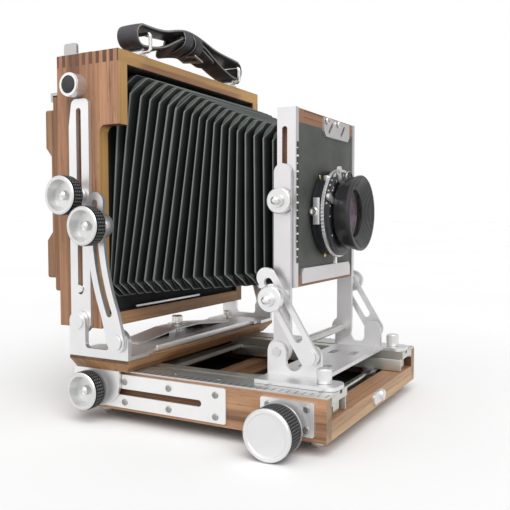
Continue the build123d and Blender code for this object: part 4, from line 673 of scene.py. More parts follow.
def fit(piece, name, body, finish, angle=35):
    """Names a finished piece, gives it its finish and lets it ride on a body."""
    piece.name = name
    piece.data.name = name
    hold(piece)
    bpy.ops.object.shade_smooth_by_angle(angle=math.radians(angle))
    alone()
    piece.data.materials.clear()
    piece.data.materials.append(finishes[finish])
    if body:
        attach(piece, body)
    return piece


def from_points(points, faces=(), edges=()):
    """A mesh drawn point by point, for shapes that no primitive starts."""
    mesh = bpy.data.meshes.new("drawn")
    mesh.from_pydata([tuple(p) for p in points], list(edges), [tuple(f) for f in faces])
    piece = bpy.data.objects.new("drawn", mesh)
    bpy.context.scene.collection.objects.link(piece)
    return piece


def skin(rows, count):
    """Faces between rows of points, each row a closed ring of count points."""
    faces = []
    for start in range(0, (rows - 1) * count, count):
        for i in range(count):
            a, b = start + i, start + (i + 1) % count
            faces.append((a, b, b + count, a + count))
    return faces


def mark(piece, name, values):
    """Gives each point of a piece a value that its finish reads."""
    layer = piece.data.attributes.new(name, "FLOAT", "POINT")
    for i, value in enumerate(values):
        layer.data[i].value = value


def cuboid(centre, size):
    """A plain block."""
    alone()
    bpy.ops.mesh.primitive_cube_add(size=1, location=mm(*centre))
    bpy.context.object.scale = mm(*size)
    return made()


def block(name, body, centre, size, finish, bevel):
    """A small plate with rounded edges."""
    piece = cuboid(centre, size)
    soften(piece, bevel, 3)
    return fit(piece, name, body, finish, 40)


def spun(profile, centre, axis, steps):
    """Turns a profile of (along, radius) about an axis through centre."""
    centre, axis = Vector(centre), Vector(axis)
    out = Vector(UP) if abs(axis.z) < 0.5 else Vector((1, 0, 0))
    points = [centre * MM + (axis * along + out * radius) * MM for along, radius in profile]
    piece = from_points(points, edges=[(i, i + 1) for i in range(len(points) - 1)])
    edit(piece, "VERT")
    bpy.ops.mesh.select_all(action="SELECT")
    bpy.ops.mesh.spin(steps=steps, angle=2 * math.pi, center=centre * MM, axis=axis)
    outward(piece, weld=True)
    return piece


def hoop(outline, centre, axis, steps):
    """A ring about an axis, from a closed outline of (along, radius)."""
    return spun(outline + [outline[0]], centre, axis, steps)


def peg(name, body, foot, direction, profile, finish, steps=28):
    """A small turned piece that stands on foot, from a profile of (height, radius)."""
    tip = 0.01
    profile = [(profile[0][0], tip)] + profile + [(profile[-1][0], tip)]
    return fit(spun(profile, foot, direction, steps), name, body, finish, 35)


def spoke(point, middle, axis):
    """The way out from an axis through middle to a point, and its angle in half turns."""
    out = point.co - middle
    out[axis] = 0
    across, up = (i for i in range(3) if i != axis)
    return out, math.atan2(out[up], out[across]) / math.pi


# ---------------------------------------------------------------- knobs

KNURL_DEPTH, KNURL_WALL = 0.42, 0.5
RIB_OUT, RIB_SINK, RIB_WALL, RIBS_BELOW_TOP = 0.25, 0.3, 0.5, 0.7


def knurled_band(name, body, side, x0, x1, radius, y, z, cells=36, rows=10):
    """A black band round a knob, cut into points by sinking the rows and columns between them."""
    alone()
    middle = mm(side * x0, y, z)
    across = (0, math.pi / 2, 0)
    bpy.ops.mesh.primitive_circle_add(
        vertices=2 * cells, radius=radius * MM, location=middle, rotation=across
    )
    band = made()
    edit(band, "EDGE")
    bpy.ops.mesh.select_all(action="SELECT")
    along = (side * (x1 - x0) / rows * MM, 0, 0)
    for row in range(rows):
        bpy.ops.mesh.extrude_region_move(TRANSFORM_OT_translate={"value": along})
    bpy.ops.object.mode_set(mode="OBJECT")
    raised = []
    for point in band.data.vertices:
        out, turn = spoke(point, middle, X_AXIS)
        cell = round(turn * cells)
        row = round(abs(point.co.x - middle.x) / (x1 - x0) / MM * rows)
        sunk = cell % 2 or row % 2 or row in (0, rows)
        raised.append(0.0 if sunk else 1.0)
        if sunk:
            point.co -= out.normalized() * KNURL_DEPTH * MM
    mark(band, "raised", raised)
    outward(band)
    thicken(band, KNURL_WALL)
    return fit(band, name, body, "black_knurl", 15)


def toothed_tube(middle, axis, radius, length, teeth, sink, wall):
    """A tube along Y or Z with teeth along it: every other line of points is sunk."""
    alone()
    bpy.ops.mesh.primitive_cylinder_add(
        vertices=2 * teeth, radius=radius * MM, depth=length * MM, end_fill_type="NOTHING",
        location=middle, rotation=(math.pi / 2 if axis == Y_AXIS else 0, 0, 0),
    )
    tube = made()
    for point in tube.data.vertices:
        out, turn = spoke(point, middle, axis)
        if round(turn * teeth) % 2:
            point.co -= out.normalized() * sink * MM
    thicken(tube, wall)
    return tube


def ribbed_sleeve(body, radius, length, ribs, finish):
    """A sleeve of upright ribs round a small thumb knob, just under its top."""
    x, y, _ = middle_of(body)
    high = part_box(body)[1][2] / MM - RIBS_BELOW_TOP
    middle = mm(x, y, high - length / 2)
    sleeve = toothed_tube(middle, Z_AXIS, radius + RIB_OUT, length, ribs, RIB_SINK, RIB_WALL)
    soften(sleeve, 0.06, 1, 50)
    outward(sleeve, weld=True)
    return fit(sleeve, f"{body}_ribs", body, finish, 20)


for side_name, side in SIDES.items():
    # Each knob with the start, end and radius of its band, and the y and z of its axis
    for knob, *band_place in (
        ("strut_knob", 109.9, 117.9, 13.3, 63, 125),
        ("arm_knob", 109.9, 117.9, 13.3, 82, 145),
        ("carriage_knob", 97.9, 106.0, 13.3, 76.2, 13.2),
    ):
        body = f"{knob}_{side_name}"
        knurled_band(f"{body}_band", body, side, *band_place)
    name = f"focus_band_{side_name}"
    knurled_band(name, "focus_drive", side, 98.9, 111.5, 15.45, -68, 6.9, cells=52, rows=16)
    ribbed_sleeve(f"front_lock_{side_name}", 4.5, 5.9, 26, "blasted_alloy")

ribbed_sleeve("swing_lock", 4.2, 3.9, 30, "plated_brass")
ribbed_sleeve("shift_lock", 3.8, 3.9, 30, "plated_brass")


# ---------------------------------------------------------------- bellows

BELLOWS_REAR, BELLOWS_FRONT = 71.8, -44.8
PLEATS = 19.75
PLEAT = (BELLOWS_REAR - BELLOWS_FRONT) / PLEATS
FIRST_RIDGE = 0.75
PLEAT_DEPTH = 5.5
PLEAT_ROWS = 9
CLOTH = 0.5
HALF_WIDTH_REAR, HALF_WIDTH_FRONT = 83.6, 46
TOP_REAR, TOP_FALL, TOP_CURVE = 231, 52, 10.5
BOTTOM_REAR, BOTTOM_RISE = 74, 13
# Corners: their points and sizes, and the share that is rounded. The rest is cut straight across.
CORNER_POINTS, CORNER_TOP, CORNER_TIGHTENS, CORNER_BOTTOM = 14, 13, 2.5, 9.5
CORNER_ROUND = 0.45
# The height where leaning folds keep their place
LEVEL_REAR, LEVEL_FALL = 150, 12
# How far the folds lean to the front for each millimetre of height, by pleats from the rear
BELLOWS_LEAN = (
    (0.0, 0.0), (0.75, 0.096), (2.75, 0.157), (5.25, 0.183), (8.75, 0.152),
    (12.75, 0.061), (15.75, -0.002), (17.25, -0.014), (19.75, 0.0),
)
# Each pleat moves at least this far from the rear, so that a leaning fold stays out of the frame
LEAST_STEP = 1.3


def bellows_lean(pleat):
    """The lean of the folds after so many pleats."""
    for (before, low), (after, high) in zip(BELLOWS_LEAN, BELLOWS_LEAN[1:]):
        if pleat <= after:
            return low + (high - low) * (pleat - before) / (after - before)
    return 0.0


def smooth(value, low, high):
    """A smooth step from 0 to 1 as the value goes from low to high."""
    share = min(1.0, max(0.0, (value - low) / (high - low)))
    return share * share * (3 - 2 * share)


def fold_lines(part):
    """A pleat's two outer creases and its inner one, in pleats, from the side (0) to the top."""
    early, late = smooth(part, 0.0, 0.55), smooth(part, 0.2, 1.0)
    return -0.035 + 0.26 * late, 0.035 + 0.66 * early, 0.5 + 0.45 * early


def fold_row(row, part):
    """Place in pleats, height and painted fold light (1 on a ridge, 0 in a valley) of one row of
    points, counted from the first ridge.
    """
    pleat, step = divmod(row, PLEAT_ROWS)
    first, second, inner = fold_lines(part)
    facet = 1 - 0.45 * smooth(part, 0.03, 0.25)
    width = second - first
    place, height, wear_and_fold_light = (
        (first, 1.0, 1.0),
        (first + 0.15 * width, 1.0, facet),
        (second - 0.15 * width, 1.0, facet),
        (second, 1.0, 1.0),
        (second + (inner - second) / 3, 2 / 3, 2 / 3),
        (second + (inner - second) * 2 / 3, 1 / 3, 1 / 3),
        (inner, 0.0, 0.0),
        (inner + (first + 1 - inner) / 3, 1 / 3, 1 / 3),
        (inner + (first + 1 - inner) * 2 / 3, 2 / 3, 2 / 3),
    )[step]
    return FIRST_RIDGE + pleat + place, height, wear_and_fold_light


def bellows_ring(row):
    """Points and painted fold light round the bellows on one row. Top and bottom fold later than
    the sides.
    """
    pleat = 0.0 if row == REAR_ROW else fold_row(row, 0.0)[0]
    share = pleat / PLEATS
    half_width = HALF_WIDTH_REAR + (HALF_WIDTH_FRONT - HALF_WIDTH_REAR) * share
    top = TOP_REAR - TOP_FALL * share + TOP_CURVE * share**2
    bottom = BOTTOM_REAR + BOTTOM_RISE * share
    middle, half_height = (top + bottom) / 2, (top - bottom) / 2
    level = LEVEL_REAR - LEVEL_FALL * share
    lean = bellows_lean(pleat)
    fade = max(0.0, min(1.0, pleat / FIRST_RIDGE, (PLEATS - pleat) / FIRST_RIDGE))
    points, worn_and_lit_tone = [], []
    for quarter, (sx, sz) in enumerate(((-1, 1), (1, 1), (1, -1), (-1, -1))):
        corner = CORNER_TOP - CORNER_TIGHTENS * share if sz > 0 else CORNER_BOTTOM
        for i in range(CORNER_POINTS + 1):
            part = i / CORNER_POINTS if quarter in (0, 2) else 1 - i / CORNER_POINTS
            turn = math.pi / 2 * part
            across, up = math.cos(turn), math.sin(turn)
            flat_across = CORNER_ROUND * across + (1 - CORNER_ROUND) * (1 - part)
            flat_up = CORNER_ROUND * up + (1 - CORNER_ROUND) * part
            place, height, wear_and_fold_light = fold_row(row, part)
            depth = PLEAT_DEPTH * (1 - height)
            x = half_width - corner * (1 - flat_across) - depth * across
            z = middle + sz * (half_height - corner * (1 - flat_up) - depth * up)
            y = BELLOWS_REAR - (pleat + (place - pleat) * fade) * PLEAT - lean * (z - level)
            points.append(mm(sx * x, min(y, BELLOWS_REAR - LEAST_STEP * pleat), z))
            worn_and_lit_tone.append(wear_and_fold_light)
    return points, worn_and_lit_tone


def bellows_piece(name, first, last):
    """The rows from first to last, counted from the rear, as one piece of cloth."""
    rings = [bellows_ring(row) for row in range(first, last + 1)]
    points = [point for ring, _ in rings for point in ring]
    piece = from_points(points, skin(len(rings), len(rings[0][0])))
    mark(piece, "fold", [wear_and_fold_light for _, ring_fold_light in rings for wear_and_fold_light in ring_fold_light])
    outward(piece)
    thicken(piece, CLOTH)
    fit(piece, name, None, "bellows_cloth", 24)
    rear_lean = bellows_lean(max(0.0, fold_row(first, 0)[0]))
    lean = (rear_lean + bellows_lean(fold_row(last, 0)[0])) / 2
    along = Vector((0, -1, -lean)).normalized()
    start = max(along.dot(point) for point in rings[0][0])
    end = min(along.dot(point) for point in rings[-1][0])
    along * start
    along * end
    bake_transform(piece)
    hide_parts("bellows")


# The bodies that the bellows passes from rear to front, and the rows from each to the next
REAR_ROW = -4
bellows_line = (
    ("rear_frame", 20),
    ("rear_arms", 18),
    ("rear_base", 14),
    ("swing_pivot", 8),
    ("carriage", 7),
    ("bed", 23),
    ("focus_track", 37),
    ("front_base", 22),
    ("front_posts", 12),
    ("front_clamp", 14),
    ("lens_frame", 0),
)
row = REAR_ROW
for (near_rear, length), (near_front, _) in zip(bellows_line, bellows_line[1:]):
    bellows_piece(f"bellows_{near_rear}", row, row + length)
    row += length


# ---------------------------------------------------------------- carrying strap

STRAP_Y, STRAP_WIDTH, STRAP_THICK = 57.0, 18.0, 2.2
BEND_X, BEND_Z, BEND_RADIUS = 63.5, 254.6, 7.1
# Half of the strap's cross section: the share of its half width, and how far its face sinks there
STRAP_SECTION = (
    (-1, 0.55), (-0.93, 0.14), (-0.5, 0.02), (0, 0), (0.5, 0.02), (0.93, 0.14), (1, 0.55),
)
EDGE_SINK, NARROWEST_TIP = 0.8, 0.12


def arc(centre, radius, start, end, count):
    """Points on an arc in X and Z, by degrees."""
    turns = [math.radians(start + (end - start) * i / count) for i in range(count + 1)]
    x, z = centre
    return [Vector((x + radius * math.cos(t), z + radius * math.sin(t))) for t in turns]


def curve(points, count=6):
    """Points along a smooth line through the points given."""
    points = [Vector(point) for point in points]
    line = []
    for i in range(len(points) - 1):
        before, after = points[max(0, i - 1)], points[min(len(points) - 1, i + 2)]
        a, b = points[i], points[i + 1]
        square, cube = 2 * before - 5 * a + 4 * b - after, 3 * a - before - 3 * b + after
        for k in range(count):
            t = k / count
            line.append(0.5 * (2 * a + (b - before) * t + (square * t**2 + cube * t**3)))
    return line + [points[-1]]


def strap_roll(x):
    """How far the strap rolls over towards the front, in radians, at x: most at its keepers."""
    return math.radians(20) * math.exp(-(((x + 12) / 26) ** 2))


def band(path, width, thick, tip=0.0, roll=0.0):
    """A flat strap along a path in X and Z, with rounded edges and a rounded tip, rolled over."""
    points, edges = [], []
    run = [0.0]
    for a, b in zip(path, path[1:]):
        run.append(run[-1] + (b - a).length)
    for i, point in enumerate(path):
        ahead = path[min(i + 1, len(path) - 1)] - path[max(i - 1, 0)]
        out = Vector((-ahead.y, ahead.x)).normalized()
        left = run[-1] - run[i]
        half = width / 2
        if tip and left < tip:
            half *= max(NARROWEST_TIP, math.sqrt(1 - (1 - left / tip) ** 2))
        sunk = thick * EDGE_SINK
        face = [(across * half, thick / 2 - share * sunk) for across, share in STRAP_SECTION]
        loop = face + [(across, -lift) for across, lift in reversed(face)]
        lean = roll + strap_roll(point.x)
        upwards = out if out.y > 0 else -out
        for across, lift in loop:
            spot = point + out * lift * math.cos(lean) - upwards * across * math.sin(lean)
            points.append(mm(spot.x, STRAP_Y + across * math.cos(lean), spot.y))
            edges.append(1.0 if abs(across) > half * 0.95 else 0.0)
    count = 2 * len(STRAP_SECTION)
    ends = [tuple(reversed(range(count))), tuple(range(len(points) - count, len(points)))]
    piece = from_points(points, skin(len(path), count) + ends)
    mark(piece, "edge", edges)
    outward(piece)
    return piece


def fit_leather(piece, name, body):
    """Finishes a piece of the strap."""
    return fit(piece, name, body, "strap_hide", 50)


upper_runs = {
    -1: [(-7, 266.6), (-18, 266.8), (-30, 265.4), (-44, 262.8), (-58, 261.8), (-70.5, 261.7)],
    1: [(-7, 266.6), (6, 265.4), (20, 263.6), (36, 262.6), (48, 262.2), (56.5, 261.7)],
}
lower_runs = {
    -1: [(-70.5, 247.5), (-60, 248.4), (-46, 251.6), (-32, 257.0), (-18, 262.0), (-7, 263.2)],
    1: [(56.5, 247.5), (47, 248.4), (34, 251.6), (20, 256.4), (6, 261.2), (-7, 263.2)],
}
for side_name, side in SIDES.items():
    bend = (HANDLE_X + side * BEND_X, BEND_Z)
    turn = arc(bend, BEND_RADIUS, 90, 270 if side < 0 else -90, 16)
    path = curve(upper_runs[side])[:-1] + turn[1:-1] + curve(lower_runs[side])
    half = fit_leather(band(path, STRAP_WIDTH, STRAP_THICK), f"strap_{side_name}", None)
    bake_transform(half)
    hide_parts("handle_strap")

KEEPER_HALF_HEIGHT, KEEPER_HALF_WIDTH, KEEPER_Z = 7.6, STRAP_WIDTH / 2 + 1.9, 261.6
KEEPER_TOP, KEEPER_THICK = 269.3, 1.2
KEEPER_ROWS = (-5.3, -4.8, -2.4, 0.0, 2.4, 4.8, 5.3)
KEEPER_POINTS = 40


def keeper(x, lean):
    """A leather keeper round all the runs of the strap, slack below, rolled over as they are."""
    points, edges = [], []
    roll = strap_roll(x)
    for along in KEEPER_ROWS:
        outer = along in (KEEPER_ROWS[0], KEEPER_ROWS[-1])
        shrink = 0.94 if outer else 1.0
        for i in range(KEEPER_POINTS):
            turn = 2 * math.pi * i / KEEPER_POINTS
            c, s = math.cos(turn), math.sin(turn)
            slack = 1.0 if s > 0 else 1.0 + 0.12 * s
            a = math.copysign(abs(c) ** 0.5, c) * KEEPER_HALF_WIDTH * shrink * slack
            b = math.copysign(abs(s) ** 0.75, s) * KEEPER_HALF_HEIGHT * shrink
            y = STRAP_Y + a * math.cos(roll) + b * math.sin(roll)
            z = KEEPER_Z + b * math.cos(roll) - a * math.sin(roll) + 0.3 * math.sin(3 * turn + x)
            points.append(mm(x + along + lean * b, y, min(z, KEEPER_TOP)))
            edges.append(1.0 if outer else 0.0)
    piece = from_points(points, skin(len(KEEPER_ROWS), KEEPER_POINTS))
    mark(piece, "edge", edges)
    outward(piece)
    thicken(piece, KEEPER_THICK)
    return piece


for number, (x, lean) in enumerate(((-17.4, 0.14), (-4.4, -0.04)), 1):
    fit_leather(keeper(x, lean), f"strap_keeper_{number}", "rear_frame")

# The loose ends: a thick tongue that hangs below to the left, and the end under the right run
tongue = [(4, 257.6), (-6, 258.4), (-16, 258.0), (-26, 255.6), (-35, 252.8), (-42, 251.6)]
fit_leather(band(curve(tongue), 17.0, 3.2, 9, 0.35), "strap_tongue", "rear_frame")
loose_end = [(-24, 261.2), (-12, 261.0), (0, 259.0), (12, 255.6), (24, 252.4)]
fit_leather(band(curve(loose_end), 17.0, 2.0, 7, 0.1), "strap_end", "rear_frame")

# Buckle under the keepers: a plate opened to a frame and tilted a little
BUCKLE = mm(-3.0, STRAP_Y, 253.0)
BUCKLE_BAR, BUCKLE_THICK = 2.4, 1.8
alone()
bpy.ops.mesh.primitive_plane_add(size=1, location=BUCKLE)
bpy.context.object.scale = mm(12, 19, 1)
buckle = made()
edit(buckle)
bpy.ops.mesh.select_all(action="SELECT")
bpy.ops.mesh.inset(thickness=BUCKLE_BAR * MM, depth=0)
bpy.ops.mesh.delete(type="FACE")
bpy.ops.object.mode_set(mode="OBJECT")
thicken(buckle, BUCKLE_THICK, offset=0)
soften(buckle, 0.7, 3, 40)
hold(buckle)
for axis, degrees in (("Y", -14), ("X", -5)):
    bpy.ops.transform.rotate(
        value=math.radians(degrees), orient_axis=axis, center_override=BUCKLE
    )
outward(made(), weld=True)
fit(buckle, "strap_buckle", "rear_frame", "screw_steel")


# ---------------------------------------------------------------- screws


def screw_master():
    """A small round screw head with a cross cut into it, of radius 1 mm, looking up."""
    alone()
    bpy.ops.mesh.primitive_cylinder_add(
        vertices=24, radius=MM, depth=0.5 * MM, location=mm(0, 0, 0.05)
    )
    head = made()
    shape = edit(head, "EDGE")
    bpy.ops.mesh.select_all(action="DESELECT")
    for edge in shape.edges:
        edge.select_set(min(point.co.z for point in edge.verts) > 0.25 * MM)
    shape.select_flush_mode()
    bpy.ops.mesh.bevel(offset=0.22 * MM, segments=2, affect="EDGES")
    bpy.ops.object.mode_set(mode="OBJECT")
    slot_long, slot_wide, slot_deep = 1.15, 0.3, 0.4
    cutters = [
        cuboid((0, 0, 0.3), (long, wide, slot_deep))
        for long, wide in ((slot_long, slot_wide), (slot_wide, slot_long))
    ]
    for cutter in cutters:
        modify(head, "BOOLEAN", operation="DIFFERENCE", object=cutter, solver="EXACT")
    hold(*cutters)
    bpy.ops.object.delete()
    return head


master_screw = screw_master()


def screws(name, body, direction, radius, places, finish="screw_steel"):
    """A set of screw heads on one body, each turned by chance, looking along a direction."""
    heads = []
    for place in places:
        head = master_screw.copy()
        head.data = master_screw.data.copy()
        bpy.context.scene.collection.objects.link(head)
        spin = Matrix.Rotation(dice.uniform(0, math.pi / 2), 4, "Z")
        facing = Vector(direction).to_track_quat("Z", "Y").to_matrix().to_4x4()
        sized = facing @ Matrix.Scale(radius, 4)
        head.data.transform(Matrix.Translation(mm(*place)) @ sized @ spin)
        heads.append(head)
    hold(*heads)
    if len(heads) > 1:
        bpy.ops.object.join()
    return fit(heads[0], name, body, finish, 30)


for side_name, side in SIDES.items():
    out = (side, 0, 0)
    plate = [(side * 93.5, y, z) for y in (79.5, 49.5, 13.5, -22) for z in (20.0, 6.2)]
    screws(f"slot_plate_screws_{side_name}", "bed", out, 2.3, plate)
    bearing = [(side * 94.0, y, z) for y in (-84.2, -59.0) for z in (19.5, 7.2)]
    screws(f"bearing_screws_{side_name}", "bed", out, 2.2, bearing)
    strip = [(side * 81.6, y, 27.0) for y in (84, 50, 16, -17.5, -52, -88)]
    screws(f"strip_screws_{side_name}", "bed", UP, 1.3, strip)
    lugs = [(HANDLE_X + side * LUG_REACH + dx, STRAP_Y, 242.5) for dx in (-3.9, 3.9)]
    screws(f"lug_screws_{side_name}", "rear_frame", UP, 0.9, lugs)
clamp = [(x, -59.5, 197.6) for x in (-4.0, 17.5)]
screws("clamp_screws", "lens_frame", FORWARD, 2.4, clamp, "plated_brass")
around_socket = [(x, y, 0) for x in (-18, 18) for y in (-18, 18)]
screws("socket_screws", "bed", DOWN, 1.9, around_socket)
feet = [(sx * 72, sy * 82, FEET_LOW) for sx in (-1, 1) for sy in (-1, 1)]
screws("foot_screws", "bed", DOWN, 1.6, feet)


# ---------------------------------------------------------------- lens and shutter

HOOD_FRONT, HOOD_DEPTH = -84, 7.0
HOOD_WIDE, HOOD_NARROW = 24.2, 18.0
STEP_FRONT, STEP_PITCH, STEP_LENGTH, STEP_COUNT = -83.7, 0.78, 0.5, 8


def cone(y):
    """Radius of the front barrel's inner cone at y."""
    return HOOD_WIDE + (y - HOOD_FRONT) * (HOOD_NARROW - HOOD_WIDE) / HOOD_DEPTH


def on_lens(angle, radius, y):
    """A point at an angle and radius about the lens."""
    turn = math.radians(angle)
    return (LENS_X + radius * math.cos(turn), y, LENS_Z + radius * math.sin(turn))


hood_steps = []
for i in range(STEP_COUNT):
    y = STEP_FRONT + i * STEP_PITCH
    hood_steps += [(y, cone(y) - 0.12), (y + STEP_LENGTH, cone(y) - 0.16)]
hood_steps += [(-77.4, 17.9), (-77.2, 18.3), (STEP_FRONT, cone(STEP_FRONT) + 0.3)]
bezel = [(-77.2, 17.9), (-77.75, 17.75), (-77.9, 17.3), (-77.7, 16.6), (-77.2, 16.5)]
inner_element = [
    (-73.1, 0.05), (-72.9, 4), (-72.2, 8), (-71.1, 12),
    (-70.2, 14.4), (-69.8, 14.4), (-69.8, 0.05),
]
scale_ring = [(-68.0, 28.9), (-68.1, 29.5), (-69.3, 29.5), (-69.4, 28.9)]
face_ring = [(-70.1, 24.9), (-70.5, 25.0), (-70.5, 27.6), (-70.1, 27.8)]
# Name, outline of (y, radius), finish, slot, steps round and the angle that stays sharp
for name, outline, finish, slot, steps, angle in (
    ("hood_steps", hood_steps, "hood_grey", "black_alloy", 96, 20),
    ("glass_bezel", bezel, "satin_black", "black_alloy", 96, 50),
    ("inner_element", inner_element, "lens_painted_reflections", "lens_glass", 64, 60),
    ("shutter_scale", scale_ring, "ring_scale", "black_alloy", 120, 30),
    ("shutter_face_ring", face_ring, "dial_face", "black_alloy", 96, 30),
):
    fit(hoop(outline, LENS, REARWARD, steps), name, "lens_frame", finish, angle)

middle, size = (LENS_X - 29.75, -62.2, LENS_Z + 1.3), (1.0, 4.6, 18.0)
block("flash_plate", "lens_frame", middle, size, "blasted_alloy", 0.3)
socket = [
    (0, 2.9), (1.2, 2.9), (1.5, 2.6), (2.6, 2.5),
    (2.6, 1.7), (0.9, 1.6), (0.9, 0.6), (1.9, 0.5),
]
foot = on_lens(178, 29.4, -60.4)
peg("flash_socket", "lens_frame", foot, (-1, 0, 0), socket, "plated_brass")


def lens_arc(inner, outer, rear, front, start, end, steps=28):
    """A flat piece of a ring about the lens, between two angles."""
    section = ((inner, rear), (outer, rear), (outer, front), (inner, front))
    points = []
    for i in range(steps + 1):
        angle = start + (end - start) * i / steps
        points += [mm(*on_lens(angle, radius, y)) for radius, y in section]
    ends = [(3, 2, 1, 0), tuple(range(4 * steps, 4 * steps + 4))]
    piece = from_points(points, skin(steps + 1, 4) + ends)
    outward(piece)
    soften(piece, 0.2, 2, 50)
    return piece


arch = lens_arc(26.9, 30.3, -68.3, -69.7, 52, 121)
fit(arch, "shutter_arch", "lens_frame", "blasted_alloy", 35)
middle, size = on_lens(127, 29.4, -64.6), (4.2, 3.4, 4.0)
block("shutter_switch", "lens_frame", middle, size, "blasted_alloy", 0.6)

teeth = toothed_tube(mm(LENS_X, -66.5, LENS_Z), Y_AXIS, 30.75, 2.0, 78, 0.5, 0.4)
outward(teeth, weld=True)
fit(teeth, "speed_ring_teeth", "speed_ring", "blasted_alloy", 20)

pin = [(0, 1.3), (1.4, 1.3), (1.7, 1.0), (2.4, 0.9), (2.6, 0.6)]
for number, angle in enumerate((126, 253, 20), 1):
    turn = math.radians(angle)
    out, foot = (math.cos(turn), 0, math.sin(turn)), on_lens(angle, 29.3, -59.6)
    peg(f"shutter_pin_{number}", "lens_frame", foot, out, pin, "gilt_brass")

CAP_ANGLE, CAP_REACH = 70, 25.4
cap = [
    (0, 5.8), (9.8, 5.8), (10.3, 5.4), (10.5, 4.8),
    (10.5, 4.0), (10.1, 3.8), (10.1, 1.2), (10.6, 1.0),
]
foot = on_lens(CAP_ANGLE, CAP_REACH, -61.4)
peg("winding_cap", "lens_frame", foot, FORWARD, cap, "black_anodised", 48)
rim = [(0, 5.7), (0.25, 6.05), (1.0, 6.05), (1.25, 5.7)]
cap_rim = hoop(rim, on_lens(CAP_ANGLE, CAP_REACH, -70.0), FORWARD, 48)
fit(cap_rim, "winding_cap_rim", "lens_frame", "plated_brass", 40)
for number, angle in enumerate((35, 145, 215, 325), 1):
    name, spot = f"shutter_screw_{number}", on_lens(angle, 26.3, -70.45)
    screws(name, "lens_frame", FORWARD, 0.9, [spot], "plated_brass")


# ---------------------------------------------------------------- lining and small plates


def lining(name, outer, inner, y0, y1):
    """A felt ring between two upright rectangles of (left, low, right, high), from y0 to y1."""
    corners = [(0, 1), (2, 1), (2, 3), (0, 3)]
    points = [
        mm(box[a], y, box[b]) for y in (y0, y1) for box in (outer, inner) for a, b in corners
    ]
    faces = []
    for i in range(4):
        j = (i + 1) % 4
        faces += [(i, j, 4 + j, 4 + i), (8 + i, 12 + i, 12 + j, 8 + j)]
        faces += [(i, 8 + i, 8 + j, j), (4 + i, 4 + j, 12 + j, 12 + i)]
    piece = from_points(points, faces)
    soften(piece, 0.15, 1)
    outward(piece, weld=True)
    return fit(piece, name, "rear_frame", "black_felt")


# Black boards that close the frame above and below the back, and a thin black sheet of painted
# shade under its top board
INSIDE_WIDTH = 173.4
for name, z, height in (("back_fillet_top", 222.6, 18.4), ("back_fillet_bottom", 72.2, 15.8)):
    size = (INSIDE_WIDTH, 3.0, height)
    block(name, "rear_frame", (0, 101.2, z), size, "black_panel", 0.3)
# Painted shade: a thin black felt sheet under the top board
size = (INSIDE_WIDTH, 19.6, 0.5)
block("top_board_shade", "rear_frame", (0, 61.8, 231.6), size, "black_felt", 0.1)

# Bright front edge of the rear base
low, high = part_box("rear_bracket")
middle, size = (0, low[1] / MM + 4.6, low[2] / MM + 2.2), (132, 1.4, 4.2)
block("bracket_edge", "rear_base", middle, size, "plate_alloy", 0.25)

# Felt inside the rear frame, the board round the bellows' rear end and the clip under it
outer, inner = (-86.95, 64.05, 86.95, 231.95), (-86.3, 64.7, 86.3, 231.3)
lining("frame_lining", outer, inner, 67.6, 71.9)
outer, inner = (-86.2, 64.8, 86.2, 231.2), (-75.0, 76.0, 75.0, 224.0)
lining("bellows_board", outer, inner, 71.0, 71.95)
middle, size = (-13.5, 69.4, 66.0), (84, 1.6, 1.9)
block("bellows_clip", "rear_frame", middle, size, "blasted_alloy", 0.3)

button = [(0, 5.95), (0.55, 5.9), (0.8, 5.4), (0.95, 3.0), (1.0, 0.5)]
for side_name, side in SIDES.items():
    name, foot, out = f"button_face_{side_name}", (side * 104.5, 85, 219), (side, 0, 0)
    peg(name, "rear_frame", foot, out, button, "black_enamel", 40)

# Washer under the swing lock, and felt pads beside it
SWING_Y = 72
washer = [(0, 4.4), (0, 8.2), (0.9, 8.2), (1.2, 7.8), (1.2, 4.4)]
under_lock = (0, SWING_Y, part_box("swing_lock")[0][2] / MM)
fit(hoop(washer, under_lock, UP, 48), "swing_washer", "rear_base", "plated_brass", 30)
pad = [(0, 7.5), (1.2, 7.5), (1.5, 7.0)]
for side_name, side in SIDES.items():
    name, foot = f"spring_pad_{side_name}", (side * 24, SWING_Y, 39.35)
    peg(name, "rear_base", foot, UP, pad, "black_felt", 40)

for side_name, side in SIDES.items():
    name, middle, size = f"rack_cover_{side_name}", (side * 58.9, -20, 16.8), (0.8, 150, 9.0)
    block(name, "focus_track", middle, size, "track_alloy", 0.25)

# Rise scale on the front lip of the near channel
middle, size = (-50.6, -58.12, 140), (2.4, 0.3, 78)
block("rise_scale", "lens_frame", middle, size, "rise_scale", 0.05)

hold(master_screw)
bpy.ops.object.delete()


# ---------------------------------------------------------------- stage, lights and camera

alone()
bpy.ops.mesh.primitive_plane_add(size=60.0, location=(0, 0, FEET_LOW * MM))
floor = bpy.context.object
floor.name = "floor"
paper = Finish("studio_paper", Roughness=0.9, Specular_IOR_Level=0.1)
paper.feed("Base Color", paper.grained(3.0, (0.93, 0.93, 0.93), (0.95, 0.95, 0.95))[1])
floor.data.materials.append(paper.material)

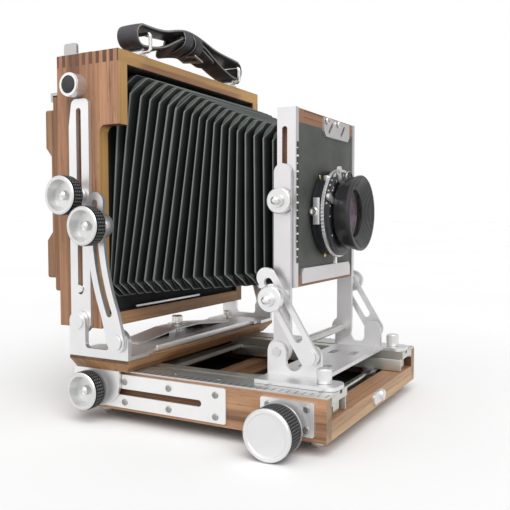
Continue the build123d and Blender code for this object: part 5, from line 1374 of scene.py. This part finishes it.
# The sky is white where it is seen, a plain soft fill on the surfaces, and in what metal
# reflects it is darker away from the window side
WINDOW = (-0.74, 0.22, 0.62)
SEEN, FILL = 1.0, 0.58
AWAY, TOWARDS = (-0.9, 0.50), (0.75, 1.08)
world = bpy.data.worlds.new("studio")
bpy.context.scene.world = world
world.use_nodes = True
background = world.node_tree.nodes["Background"]
background.inputs["Color"].default_value = (1, 1, 1, 1)
sky = Nodes(world.node_tree)
seen, passed, mirrored = (
    sky.node("ShaderNodeLightPath", output=f"Is {ray} Ray")
    for ray in ("Camera", "Transmission", "Glossy")
)
around = sky.node("ShaderNodeTexCoord", output="Generated")
sockets = {0: around, 1: WINDOW}
window = sky.node("ShaderNodeVectorMath", {"operation": "DOT_PRODUCT"}, sockets, "Value")
sockets = {0: window, 1: AWAY[0], 2: TOWARDS[0], 3: AWAY[1], 4: TOWARDS[1]}
room = sky.node("ShaderNodeMapRange", None, sockets)
fill = sky.node("ShaderNodeMix", None, {0: mirrored, 2: FILL, 3: room})
strength = sky.node("ShaderNodeMix", None, {0: seen.most(passed), 2: fill, 3: SEEN})
world.node_tree.links.new(strength.socket, background.inputs["Strength"])


def sunlight(name, towards, strength, spread):
    """A broad soft light from far away, so that the whole floor is lit alike."""
    light = bpy.data.lights.new(name, "SUN")
    light.energy = strength
    light.angle = math.radians(spread)
    holder = bpy.data.objects.new(name, light)
    bpy.context.scene.collection.objects.link(holder)
    holder.rotation_euler = Vector(towards).to_track_quat("-Z", "Y").to_euler()


sunlight("key_light", (0.50, 0.42, -0.76), 1.75, 50)
sunlight("side_light", (0.75, -0.35, -0.55), 0.35, 60)

# The camera that was fitted to the photo: its focal length in picture widths, place and aim
SENSOR, FOCAL, PICTURE_WIDTH = 36.0, 679.80, 510
EYE = (-0.44860, -0.24292, 0.12963)
azimuth, pitch = math.radians(28.488), math.radians(3.0605)
camera = bpy.data.objects.new("camera", bpy.data.cameras.new("camera"))
bpy.context.scene.collection.objects.link(camera)
camera.data.sensor_width = SENSOR
camera.data.lens = SENSOR * FOCAL / PICTURE_WIDTH
camera.data.clip_start = 0.01
camera.location = EYE
ahead = math.cos(pitch)
look = Vector((ahead * math.cos(azimuth), ahead * math.sin(azimuth), -math.sin(pitch)))
camera.rotation_euler = look.to_track_quat("-Z", "Y").to_euler()
bpy.context.scene.camera = camera
bpy.context.scene.view_settings.view_transform = "Standard"
